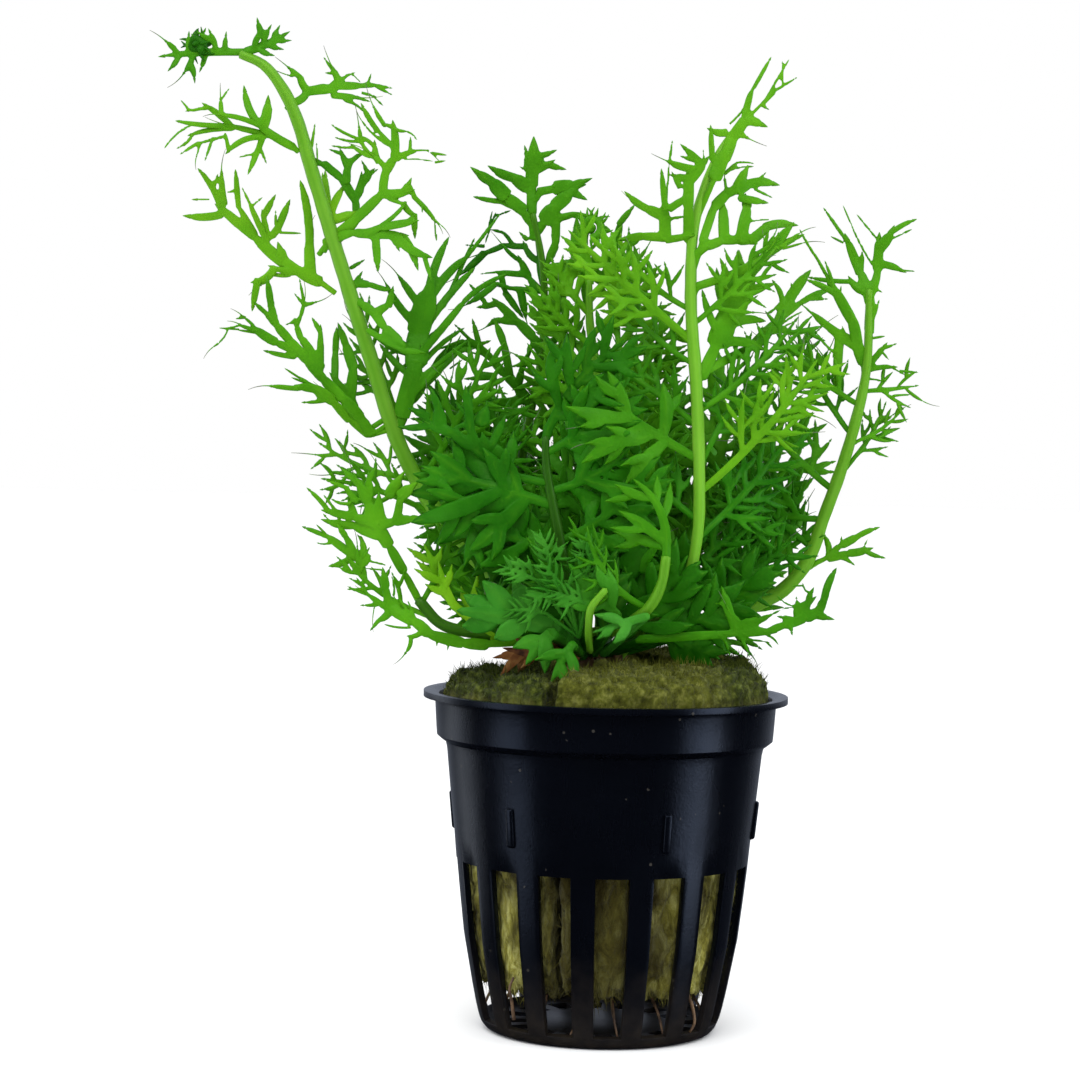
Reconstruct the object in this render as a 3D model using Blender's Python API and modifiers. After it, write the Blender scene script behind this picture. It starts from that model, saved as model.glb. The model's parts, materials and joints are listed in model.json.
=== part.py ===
"""Water sprite, an aquarium fern, growing in mineral wool in a black net pot.

Run with: blender --background --python part.py
Metres, +Z up. The origin is the middle of the pot's flat base, and -Y is the front.
The sizes below are in millimetres and angles in degrees, and are turned into metres as they are used.
"""

import math

import bmesh
import bpy
from mathutils import Matrix, Vector
from mathutils.geometry import delaunay_2d_cdt

MM = 0.001
GAP = 0.3

# Net pot
POT_HEIGHT = 50.0
LIP_RADIUS = 27.0
LIP_THICK = 0.7
COLLAR_TOP_RADIUS = 25.3
COLLAR_BOTTOM_RADIUS = 24.9
COLLAR_BOTTOM_Z = 43.4
SHOULDER_RADIUS = 23.5
SHOULDER_Z = 42.6
WALL_THICK = 0.9
FLOOR_THICK = 1.2
# Outer radius of the wall at each height, from the shoulder down to the rounded base edge
WALL_PROFILE = [(SHOULDER_RADIUS, SHOULDER_Z), (21.7, 25.8), (20.4, 14.0), (18.3, 3.4)]
BASE_EDGE = [(17.4, 1.0), (16.0, 0.0)]
POT_STEPS = 32

SLOT_COUNT = 16
SLOT_TURN = 4.1
SLOT_TOP_Z = 25.3
SLOT_BOTTOM_Z = 1.7
SLOT_TOP_WIDTH = 5.0
SLOT_BOTTOM_WIDTH = 3.9
FLOOR_SLOT_INNER = 10.5
FLOOR_SLOT_OUTER = 14.8
FLOOR_SLOT_WIDTH = 3.0

TAB_COUNT = 6
TAB_TURN = 24.0
TAB_WIDTH = 1.6
TAB_PROUD = 0.5
TAB_BOTTOM_Z = 28.6
TAB_TOP_Z = 35.0

# Mineral wool, a plug split in three round the rootstock
WOOL_BOTTOM_Z = 7.2
WOOL_CLEAR = 0.5
WOOL_STEPS = 20
WOOL_HOLE_RADIUS = 7.8
WOOL_CUT = 1.2
WOOL_TOPS = {"left": 53.2, "front": 55.0, "back": 56.0}
WOOL_SECTORS = {"left": (125, 250), "front": (250, 15), "back": (15, 125)}

# Rootstock, the short upright stem that every leaf grows from
CROWN_X = -1.8
CROWN_RADIUS = 5.2
CROWN_BOTTOM_Z = 34.0
CROWN_TOP_Z = 56.6

# The sheet that the leaves are laid out on stands upright through the pot's axis.
# Leaves in front of it or behind it are spread from the eye, so from there they look as laid out.
SHEET_TURN = math.radians(1.25)
SHEET_PIVOT_Z = 23.8
SHEET_LIFT = 0.5
EYE_X = -1.3
EYE_Z = 87.0
EYE_DISTANCE = 436.0

BLADE_THICK = 0.45
SMALL_LOBE = 6.2

POT_BLACK = (0.012, 0.013, 0.018, 1)
WOOL_OLIVE = (0.16, 0.15, 0.045, 1)
STALK_GREEN = (0.16, 0.42, 0.045, 1)
LEAF_GREEN = (0.06, 0.36, 0.015, 1)
CROWN_BROWN = (0.10, 0.075, 0.03, 1)


def clear_scene():
    for old in list(bpy.data.objects):
        bpy.data.objects.remove(old, do_unlink=True)


def new_collection(name, hidden=False):
    made = bpy.data.collections.new(name)
    made.hide_render = hidden
    bpy.context.scene.collection.children.link(made)
    return made


def material(name, colour, roughness):
    made = bpy.data.materials.new(name)
    made.use_nodes = True
    shader = made.node_tree.nodes["Principled BSDF"]
    shader.inputs["Base Color"].default_value = colour
    shader.inputs["Roughness"].default_value = roughness
    shader.inputs["Metallic"].default_value = 0.0
    made.diffuse_color = colour
    return made


def add_object(name, data, collection, finish=None):
    made = bpy.data.objects.new(name, data)
    collection.objects.link(made)
    if finish:
        data.materials.append(finish)
    return made


def mesh_from(bm, name):
    mesh = bpy.data.meshes.new(name)
    bm.to_mesh(mesh)
    bm.free()
    return mesh


def boolean(target, cutter, operation):
    step = target.modifiers.new(cutter.name, "BOOLEAN")
    step.operation = operation
    step.solver = "EXACT"
    step.object = cutter
    cutter.hide_render = True
    cutter.display_type = "WIRE"


def turned(name, profile, steps, collection, finish):
    """A turned solid from its closed half section, listed as (radius, z), the outer side from top to bottom."""
    bm = bmesh.new()
    corners = [bm.verts.new((radius * MM, 0, z * MM)) for radius, z in profile]
    for start, end in zip(corners, corners[1:]):
        bm.edges.new((start, end))
    if profile[0][0] > 0:
        bm.edges.new((corners[-1], corners[0]))
    made = add_object(name, mesh_from(bm, name), collection, finish)
    screw = made.modifiers.new("turn", "SCREW")
    screw.steps = steps
    screw.render_steps = steps
    screw.use_merge_vertices = True
    screw.merge_threshold = 0.00001
    return made


def box_corners(bm, width_low, width_high, inner, outer, low, high, turn):
    """A block that runs outwards from the axis, with its own width at its foot and at its top."""
    made = bmesh.ops.create_cube(bm, size=1.0)["verts"]
    for corner in made:
        width = width_high if corner.co.z > 0 else width_low
        corner.co.x *= width * MM
        corner.co.y = -(outer if corner.co.y > 0 else inner) * MM
        corner.co.z = (high if corner.co.z > 0 else low) * MM
    bmesh.ops.rotate(bm, verts=made, cent=(0, 0, 0), matrix=Matrix.Rotation(math.radians(turn), 3, "Z"))
    faces = {face for corner in made for face in corner.link_faces}
    bmesh.ops.recalc_face_normals(bm, faces=list(faces))


def radius_at(z):
    """Outer radius of the pot's wall below the shoulder."""
    for (top_r, top_z), (low_r, low_z) in zip(WALL_PROFILE, WALL_PROFILE[1:]):
        if z >= low_z:
            return low_r + (top_r - low_r) * (z - low_z) / (top_z - low_z)
    return WALL_PROFILE[-1][0]


def build_pot(parts, cutters):
    lip_low = POT_HEIGHT - LIP_THICK
    outer = [(LIP_RADIUS, POT_HEIGHT), (LIP_RADIUS, lip_low), (COLLAR_TOP_RADIUS, lip_low)]
    outer += [(COLLAR_BOTTOM_RADIUS, COLLAR_BOTTOM_Z)] + WALL_PROFILE + BASE_EDGE
    inner = [(radius - WALL_THICK, z) for radius, z in reversed(WALL_PROFILE[:-1])]
    inner = [(16.2, FLOOR_THICK)] + inner
    inner += [(COLLAR_BOTTOM_RADIUS - WALL_THICK, COLLAR_BOTTOM_Z), (COLLAR_TOP_RADIUS - 0.8, POT_HEIGHT)]
    profile = outer + [(0, 0), (0, FLOOR_THICK)] + inner
    pot = turned("net_pot", profile, POT_STEPS, parts, material("black plastic", POT_BLACK, 0.25))

    tabs = bmesh.new()
    for place in range(TAB_COUNT):
        turn = TAB_TURN + 360.0 * place / TAB_COUNT
        foot = radius_at(TAB_BOTTOM_Z)
        box_corners(tabs, TAB_WIDTH, TAB_WIDTH, foot - 0.3, foot + TAB_PROUD, TAB_BOTTOM_Z, TAB_TOP_Z, turn)
    boolean(pot, add_object("wall tabs", mesh_from(tabs, "wall tabs"), cutters), "UNION")

    slots = bmesh.new()
    for place in range(SLOT_COUNT):
        turn = SLOT_TURN + 360.0 * place / SLOT_COUNT
        widths = (SLOT_BOTTOM_WIDTH, SLOT_TOP_WIDTH)
        box_corners(slots, *widths, FLOOR_SLOT_OUTER + 2.0, LIP_RADIUS + 3, SLOT_BOTTOM_Z, SLOT_TOP_Z, turn)
        widths = (FLOOR_SLOT_WIDTH, FLOOR_SLOT_WIDTH)
        box_corners(slots, *widths, FLOOR_SLOT_INNER, FLOOR_SLOT_OUTER, -1.0, FLOOR_THICK + 0.4, turn)
    boolean(pot, add_object("slots", mesh_from(slots, "slots"), cutters), "DIFFERENCE")


def build_wool(parts, cutters):
    finish = material("mineral wool", WOOL_OLIVE, 1.0)
    side = [(radius - WALL_THICK - WOOL_CLEAR, z) for radius, z in WALL_PROFILE[:-1]]
    side.append((radius_at(WOOL_BOTTOM_Z) - WALL_THICK - WOOL_CLEAR, WOOL_BOTTOM_Z))
    collar = COLLAR_TOP_RADIUS - 0.8 - WOOL_CLEAR
    for name, top in WOOL_TOPS.items():
        shape = [(15.0, top), (collar - 2.0, top - 0.4), (collar, top - 2.5), (collar, COLLAR_BOTTOM_Z + 2.0)]
        shape += side + [(WOOL_HOLE_RADIUS, WOOL_BOTTOM_Z), (WOOL_HOLE_RADIUS, top)]
        piece = turned("wool_" + name, shape, WOOL_STEPS, parts, finish)
        start, end = WOOL_SECTORS[name]
        sweep = (end - start) % 360
        spokes = [math.radians(start + sweep * share / 4.0) for share in range(5)]
        sector = bmesh.new()
        reach = 2.0 * LIP_RADIUS * MM
        inset = WOOL_CUT / 2 / math.sin(math.radians(min(sweep, 90) / 2.0))
        middle = math.radians(start + sweep / 2.0)
        tip = Vector((math.cos(middle), math.sin(middle), 0)) * inset * MM
        ring = [tip] + [tip + Vector((math.cos(a), math.sin(a), 0)) * reach for a in spokes]
        face = sector.faces.new([sector.verts.new(point) for point in ring])
        raised = bmesh.ops.extrude_face_region(sector, geom=[face])["geom"]
        bmesh.ops.translate(sector, verts=[v for v in raised if isinstance(v, bmesh.types.BMVert)], vec=(0, 0, 0.1))
        bmesh.ops.recalc_face_normals(sector, faces=sector.faces[:])
        cutter = add_object("sector " + name, mesh_from(sector, "sector " + name), cutters)
        boolean(piece, cutter, "INTERSECT")


def build_crown(parts):
    low, top, wide = CROWN_BOTTOM_Z, CROWN_TOP_Z, CROWN_RADIUS
    shape = [(0, top), (wide * 0.6, top - 0.8), (wide, top - 4.0), (wide * 0.9, low + 8.0), (wide * 0.5, low), (0, low)]
    crown = turned("crown", shape, 12, parts, material("rootstock", CROWN_BROWN, 0.8))
    crown.location.x = CROWN_X * MM


def on_sheet(x, z, depth):
    """The place in space of a point of the sheet that lies at this depth behind it, in metres."""
    level = z - SHEET_PIVOT_Z
    upright_x = x * math.cos(SHEET_TURN) - level * math.sin(SHEET_TURN)
    upright_z = SHEET_PIVOT_Z + SHEET_LIFT + x * math.sin(SHEET_TURN) + level * math.cos(SHEET_TURN)
    spread = (EYE_DISTANCE + depth) / EYE_DISTANCE
    return Vector((EYE_X + (upright_x - EYE_X) * spread, depth, EYE_Z + (upright_z - EYE_Z) * spread)) * MM


def round_the_back(azimuth):
    """A sheet like the front one, turned about the rootstock, for the leaves that grow away from the eye."""
    turn = math.radians(azimuth)

    def place(x, z, depth):
        along = x - CROWN_X
        across = along * math.sin(turn) + depth * math.cos(turn)
        return Vector((CROWN_X + along * math.cos(turn) - depth * math.sin(turn), across, z)) * MM

    return place


class Stalk:
    """A leaf's stalk and midrib: a tapered tube along hand-picked points (x, z, depth, radius)."""

    def __init__(self, name, route):
        self.route = route
        curve = bpy.data.curves.new(name, "CURVE")
        curve.dimensions = "3D"
        curve.bevel_depth = MM
        curve.bevel_resolution = 1
        curve.use_fill_caps = True
        line = curve.splines.new("POLY")
        line.points.add(len(route) - 1)
        for point, (x, z, depth, radius) in zip(line.points, route):
            point.co = (*on_sheet(x, z, depth), 1.0)
            point.radius = radius
        self.object = add_object(name, curve, Stalk.collection, Stalk.finish)

    def nearest(self, x, z):
        """The stalk's point nearest to a point of the sheet: its place, depth, radius and direction."""
        best = None
        for (x0, z0, d0, r0), (x1, z1, d1, r1) in zip(self.route, self.route[1:]):
            run_x, run_z = x1 - x0, z1 - z0
            share = ((x - x0) * run_x + (z - z0) * run_z) / (run_x**2 + run_z**2)
            share = min(1.0, max(0.0, share))
            foot = (x0 + share * run_x, z0 + share * run_z)
            away = math.hypot(x - foot[0], z - foot[1])
            if best is None or away < best[0]:
                best = (away, foot, d0 + share * (d1 - d0), r0 + share * (r1 - r0), math.atan2(run_z, run_x))
        return best[1:]


def rib_point(start, heading, length, bend, share):
    """Place and heading at a share of a rib's length, on the arc that turns by bend."""
    turn = math.radians(bend) * share
    if abs(bend) < 0.5:
        reach, lean = length * share, 0.0
    else:
        reach = 2.0 * length / math.radians(bend) * math.sin(turn / 2.0)
        lean = turn / 2.0
    angle = math.radians(heading) + lean
    return (start[0] + reach * math.cos(angle), start[1] + reach * math.sin(angle)), heading + math.degrees(turn)


def lobe_outlines(start, heading, length, bend, half_width, lobes, lobe_width):
    """Outlines of a rib and of each lobe on it, each a pointed blade. Lobes are
    (share along the rib, turn from it, length, then maybe the bend, then maybe the lobe's own lobes)."""
    stations = [(0.0, 0.85), (0.58, 1.0), (1.0, 0.0)]
    if abs(bend) > 25 and length > 2 * SMALL_LOBE:
        stations = [(0.0, 0.85), (0.34, 1.0), (0.7, 0.9), (1.0, 0.0)]
    if length < SMALL_LOBE:
        stations = [(0.0, 1.0), (1.0, 0.0)]
    left, right = [], []
    for share, swell in stations:
        (x, z), aim = rib_point(start, heading, length, bend, share)
        side = math.radians(aim + 90)
        offset_x, offset_z = half_width * swell * math.cos(side), half_width * swell * math.sin(side)
        left.append((x + offset_x, z + offset_z))
        if swell:
            right.append((x - offset_x, z - offset_z))
    outlines = [right + left[::-1]]
    for lobe in lobes:
        share, turn, reach = lobe[:3]
        curl = next((item for item in lobe[3:] if not isinstance(item, list)), 0.0)
        own = next((item for item in lobe[3:] if isinstance(item, list)), [])
        foot, aim = rib_point(start, heading, length, bend, share)
        outlines += lobe_outlines(foot, aim + turn, reach, curl, lobe_width, own, lobe_width * 0.8)
    return outlines


def comb(pairs, turn, longest, own=0):
    """Lobes in pairs along a rib, shorter and closer to it towards the tip. The lower ones may have own lobes."""
    made = []
    for place in range(2 * pairs):
        share = 0.16 + 0.68 * place / (2 * pairs - 1)
        side = 1 if place % 2 else -1
        reach = longest * (1.0 - 0.62 * share)
        made.append((share, side * (turn - 14 * share), reach))
        if place < own:
            made[-1] += ([(0.42, side * 40, reach * 0.42), (0.6, -side * 38, reach * 0.36)],)
    return made


def fused_sheet(name, outlines):
    """One flat mesh of the shape that the overlapping outlines cover together, on x and z."""
    corners = [Vector(point) for outline in outlines for point in outline]
    faces, first = [], 0
    for outline in outlines:
        faces.append(list(range(first, first + len(outline))))
        first += len(outline)
    points, _, cells, *_ = delaunay_2d_cdt(corners, [], faces, 1, 0.02)
    bm = bmesh.new()
    made = [bm.verts.new((point.x, 0, point.y)) for point in points]
    for cell in cells:
        bm.faces.new([made[index] for index in cell])
    bmesh.ops.remove_doubles(bm, verts=bm.verts[:], dist=0.15)
    bmesh.ops.dissolve_limit(bm, angle_limit=math.radians(7), verts=bm.verts[:], edges=bm.edges[:])
    bmesh.ops.triangulate(bm, faces=bm.faces[:], ngon_method="BEAUTY")
    return mesh_from(bm, name)


def leaf(name, stalk, foot, heading, length, bend, lean, lobes, roll=0.0, droop=0.0, rib=0.7, lobe=0.75,
         place=on_sheet, depth=0.0):
    """A leaflet laid out on the sheet from its foot. It stands behind the sheet as far as its stalk does,
    plus lean for each millimetre outwards, roll for each across, and droop more at its far end."""
    if stalk:
        foot, depth, radius, run = stalk.nearest(*foot)
        apart = abs(math.sin(math.radians(heading) - run))
        beside = abs(math.cos(math.radians(heading) - run))
        clear = (radius + GAP + rib * beside) / max(apart, 0.4)
        start = (foot[0] + clear * math.cos(math.radians(heading)), foot[1] + clear * math.sin(math.radians(heading)))
    else:
        start = foot
    flat = fused_sheet(name, lobe_outlines(start, heading, length, bend, rib, lobes, lobe))
    middle = math.radians(heading + bend / 2.0)
    for corner in flat.vertices:
        out = (corner.co.x - start[0]) * math.cos(middle) + (corner.co.z - start[1]) * math.sin(middle)
        over = -(corner.co.x - start[0]) * math.sin(middle) + (corner.co.z - start[1]) * math.cos(middle)
        behind = depth + lean * out + roll * over + droop * (out / length) ** 2
        corner.co = place(corner.co.x, corner.co.z, behind)
    made = add_object(name, flat, Stalk.collection, leaf.finish)
    shell = made.modifiers.new("thickness", "SOLIDIFY")
    shell.thickness = BLADE_THICK * MM
    shell.offset = 0.0
    return made


def build_left_tall():
    """The tall frond at the left, whose tip curls over."""
    stalk = Stalk("stalk_left_tall", [
        (-4.6, 58.4, -0.5, 1.3), (-9.2, 61.4, 0.5, 1.35), (-18.1, 68.8, 2, 1.4), (-25.5, 77.7, 3, 1.45),
        (-29.7, 85.6, 3, 1.5), (-34.4, 99.6, 1, 1.5), (-39.6, 116.0, -1, 1.35), (-43.3, 128.0, -3, 1.2),
        (-45.1, 134.2, -3.5, 1.1), (-47.2, 138.7, -4, 0.95), (-50.2, 142.4, -4, 0.8), (-53.4, 143.9, -4, 0.7)])
    leaf("leaf_left_tall_curl", None, (-54.6, 144.2), 180, 11.6, 0, -0.1, [
        (0.12, -95, 2.3), (0.25, -75, 3.0), (0.38, -60, 2.8), (0.52, -75, 2.6), (0.64, -95, 2.6),
        (0.76, -55, 2.4), (0.55, 60, 3.4), (0.74, 70, 2.0), (0.88, 45, 2.0),
        (0.1, -160, 10.4, [(0.55, 36, 3.0), (0.74, 30, 2.2), (0.66, -40, 3.0)])], rib=0.8, lobe=0.7, depth=-4.0)
    leaf("leaf_left_tall_1", stalk, (-45.8, 137.0), 20, 14.2, -18, 0.3, [
        (0.14, 112, 4.4), (0.42, 110, 4.4), (0.53, 40, 2.4), (0.72, 32, 2.0), (0.38, -42, 4.2), (0.62, -36, 3.4)])
    leaf("leaf_left_tall_2", stalk, (-46.1, 130.8), 155, 16.0, 25, -0.3, [
        (0.2, -75, 4.8), (0.3, -42, 5.6), (0.36, -14, 10.6, [(0.42, -78, 4.0), (0.66, -80, 2.6)]),
        (0.24, 92, 4.4), (0.32, 40, 6.0), (0.4, 17, 12.0, [(0.5, 42, 3.0), (0.72, 42, 3.0)])])
    leaf("leaf_left_tall_3", stalk, (-43.4, 128.4), -30, 8.6, 60, 0.5, [
        (0.5, 98, 5.5), (0.75, 88, 6.5), (0.97, 78, 7.2)])
    leaf("leaf_left_tall_4", stalk, (-39.4, 116.2), 55, 22.5, 45, -0.25, [
        (0.3, 60, 5.5), (0.42, -50, 7.5, -70), (0.5, 45, 4.5), (0.6, -58, 7.6, [(0.5, 30, 2.6)]),
        (0.72, 46, 4.5), (0.8, -38, 3.5), (0.88, 40, 3.2)])
    leaf("leaf_left_tall_5", stalk, (-38.5, 112.6), 22, 14.5, -45, -0.55, [
        (0.32, 38, 6.2), (0.52, 24, 4.0), (0.36, -92, 4.6), (0.6, -72, 5.0), (0.78, -50, 4.6)])
    leaf("leaf_left_tall_6", stalk, (-38.7, 108.4), 152, 27.0, -12, -0.15, [
        (0.27, -60, 12.0), (0.35, 20, 8.6, 90), (0.62, -78, 5.6), (0.75, -72, 4.2), (0.82, 38, 5.0),
        (0.88, -50, 3.6)], rib=0.7, lobe=0.65)
    leaf("leaf_left_tall_7", stalk, (-30.4, 90.3), 66, 24.0, 14, 0.35, [
        (0.16, 42, 5.5), (0.3, 75, 7.5), (0.44, 85, 8.5), (0.62, 60, 6.5), (0.75, 30, 5.0), (0.14, -35, 8.0),
        (0.3, -22, 8.4), (0.5, -32, 10.5, [(0.5, 35, 3.0), (0.7, -35, 3.0)]), (0.74, -30, 4.0)],
        rib=0.75, lobe=0.65)
    leaf("leaf_left_tall_8", stalk, (-31.8, 88.5), 130, 30.0, 38, -0.2, [
        (0.28, -50, 6.0), (0.4, -52, 8.0), (0.53, -42, 8.5), (0.66, -38, 8.6, [(0.6, 25, 2.6)]), (0.25, 30, 4.5),
        (0.4, 32, 5.6), (0.55, 24, 4.8), (0.82, -25, 2.5)], rib=0.6, lobe=0.65)
    leaf("leaf_left_tall_9", stalk, (-27.0, 80.4), 58, 20.0, 10, -0.15, comb(4, 52, 8.4, own=1))


def build_low_left():
    """The low frond at the left, with a dark stalk that sweeps out and up, and the two leaves under it."""
    Stalk("stalk_low_left", [
        (-8.0, 58.0, -4, 0.8), (-12.1, 57.4, -6, 0.85), (-18.2, 58.2, -8, 0.85), (-24.1, 59.8, -9, 0.85),
        (-27.2, 63.2, -9, 0.8)])
    leaf("leaf_low_left", None, (-27.7, 64.1), 116, 29.0, -14, -0.08, [
        (0.18, 44, 13.0, -10, [(0.3, -34, 3.6), (0.52, -30, 3.4), (0.4, 44, 4.0), (0.64, 42, 3.2)]),
        (0.36, 56, 13.0, -34, [(0.28, -50, 4.4), (0.52, -44, 4.0), (0.46, 34, 4.6)]),
        (0.52, 38, 11.0, [(0.35, -32, 4.2), (0.6, -28, 3.2), (0.4, 32, 3.8)]),
        (0.28, -78, 13.0, 25, [(0.24, 48, 5.2), (0.5, 45, 4.6), (0.36, -45, 4.8), (0.66, -38, 4.0)]),
        (0.5, -52, 8.0, [(0.5, -36, 3.4)]), (0.66, 34, 6.5), (0.68, -38, 7.0), (0.82, 30, 4.4), (0.84, -32, 4.4)],
        depth=-9.0, rib=0.75, lobe=0.7)
    leaf("leaf_bottom_left", None, (-8.6, 57.6), 190, 30.0, -48, -0.3, [
        (0.36, 72, 3.4), (0.58, 55, 4.2, 20), (0.75, 48, 4.4), (0.72, -65, 5.6), (0.86, -35, 3.0)],
        depth=-9.5, rib=1.0, lobe=0.6)
    leaf("leaf_round", None, (-7.2, 60.2), 165, 14.5, -6, -0.35, [
        (0.2, 32, 5.0), (0.5, 26, 5.0), (0.3, -30, 5.0), (0.62, -24, 4.4)], depth=-12.0, rib=1.3, lobe=0.9)


def build_middle():
    """The upright frond left of the middle, behind the others, with a broad top."""
    stalk = Stalk("stalk_middle", [
        (-2.6, 58.4, 2.5, 0.85), (-6.2, 64.7, 6, 0.85), (-10.9, 74.4, 9, 0.8), (-12.0, 81.0, 10, 0.75),
        (-10.7, 90.1, 10, 0.65), (-9.0, 98.6, 10, 0.6), (-8.5, 106.7, 10, 0.55), (-8.7, 112.2, 9, 0.55),
        (-10.2, 120.2, 8, 0.45)])
    leaf("leaf_middle_top", None, (-10.4, 121.3), 91, 8.4, 0, -0.1, [
        (0.02, 56, 8.6, [(0.42, 38, 3.6)]), (0.32, 66, 5.2), (0.12, -62, 7.0, [(0.6, -45, 2.4)]), (0.62, -66, 3.4),
        (0.9, -58, 2.4), (0.0, -88, 5.6)], depth=8.0, rib=1.0, lobe=0.95)
    leaf("leaf_middle_1", stalk, (-9.9, 114.6), 168, 11.4, 55, -0.3, [
        (0.35, -60, 2.5), (0.6, -82, 5.5), (0.45, 60, 4.0), (0.7, 48, 3.5), (0.88, 20, 2.5)], rib=0.6, lobe=0.5)
    leaf("leaf_middle_2", stalk, (-8.6, 108.2), 148, 12.0, 20, 0.25, comb(3, 50, 6.0))
    leaf("leaf_middle_3", stalk, (-10.0, 93.8), 140, 17.0, 6, 0.1, comb(4, 52, 7.4, own=1))
    leaf("leaf_middle_4", stalk, (-8.6, 103.0), 42, 14.0, 20, 0.2, comb(3, 52, 6.6, own=1))


def build_curled():
    """The young frond behind the middle, its tip still a fuzzy coil."""
    stalk = Stalk("stalk_curled", [
        (-0.4, 58.4, 3.5, 0.8), (-0.3, 69.1, 7, 0.8), (0.3, 82.4, 7, 0.75), (-0.6, 95.8, 5, 0.7),
        (-1.8, 104.6, 4, 0.6), (-1.9, 110.5, 3, 0.5)])
    leaf("leaf_curled_top", None, (-1.9, 111.4), 95, 6.4, 20, -0.1, [
        (0.05, 62, 3.6), (0.35, 55, 3.0), (0.65, 50, 2.4), (0.02, -48, 5.6, [(0.5, 35, 3.0)]), (0.5, -60, 2.6),
        (0.8, -45, 2.0)], depth=3.0, rib=0.9, lobe=0.7)


def build_centre_right():
    """The tall frond right of the middle, in front, on a pale straight stalk."""
    stalk = Stalk("stalk_centre_right", [
        (5.2, 58.2, -3.0, 1.05), (9.5, 61.2, -5.5, 1.1), (12.6, 66.0, -8, 1.1), (14.2, 73.3, -9, 1.1),
        (14.4, 81.0, -9, 1.1), (14.0, 94.0, -9, 1.0), (13.1, 109.4, -8, 0.85), (13.5, 118.0, -7.5, 0.75),
        (14.8, 123.4, -7, 0.65), (16.9, 128.6, -6.5, 0.55), (20.6, 134.2, -6, 0.4)])
    leaf("leaf_centre_right_top", None, (21.3, 134.9), 58, 10.0, -8, 0.1, [
        (0.03, 14, 8.4), (0.55, -28, 4.0), (0.04, -82, 2.6), (0.4, -48, 1.8)], depth=-6.0, rib=0.5, lobe=0.45)
    leaf("leaf_centre_right_1", stalk, (15.4, 125.6), 96, 6.4, -10, 0.25, [
        (0.25, 45, 5.0), (0.5, -35, 2.6)], rib=0.6, lobe=0.6)
    leaf("leaf_centre_right_2", stalk, (14.2, 121.2), 34, 11.0, -34, 0.25, [
        (0.42, 42, 3.2), (0.62, -36, 3.2), (0.38, -50, 3.2)], rib=0.7, lobe=0.6)
    leaf("leaf_centre_right_3", stalk, (12.4, 113.5), 122, 17.6, -50, -0.3, [
        (0.2, 58, 8.0, 12), (0.34, 48, 5.0), (0.55, 55, 5.0), (0.75, -42, 3.6), (0.4, -50, 3.4)], rib=0.6)
    leaf("leaf_centre_right_4", stalk, (13.2, 110.0), 26, 17.0, 8, 0.3, [
        (0.25, 45, 4.4), (0.48, -45, 4.5), (0.58, 42, 3.6), (0.78, -34, 3.0), (0.82, 32, 2.6)], rib=0.6)
    leaf("leaf_centre_right_5", stalk, (11.6, 101.0), 138, 21.4, 0, -0.25, [
        (0.2, 40, 8.0), (0.4, -42, 6.0), (0.55, 38, 5.5), (0.7, -45, 5.5), (0.84, 38, 3.4)], rib=0.85, lobe=0.8)
    leaf("leaf_centre_right_6", stalk, (14.1, 96.3), 54, 21.5, -18, 0.3, [
        (0.3, 40, 9.0), (0.54, 42, 5.0), (0.48, -48, 5.0), (0.7, -40, 5.4), (0.8, 34, 4.0)], rib=0.7, lobe=0.75)
    leaf("leaf_centre_right_7", stalk, (14.3, 84.0), 150, 14.5, -8, -0.35, [
        (0.3, -60, 7.0, [(0.55, -40, 2.8)]), (0.5, 55, 9.0), (0.25, 72, 7.4), (0.68, 28, 8.0), (0.72, -30, 6.0)],
        rib=0.8, lobe=0.8)
    leaf("leaf_centre_right_8", stalk, (14.4, 79.2), 38, 23.4, 22, -0.2, [
        (0.26, 46, 7.6), (0.44, 46, 7.0), (0.36, -32, 6.0), (0.6, -36, 5.0), (0.64, 36, 5.4), (0.8, -32, 4.0)],
        rib=0.8, lobe=0.7)


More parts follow.
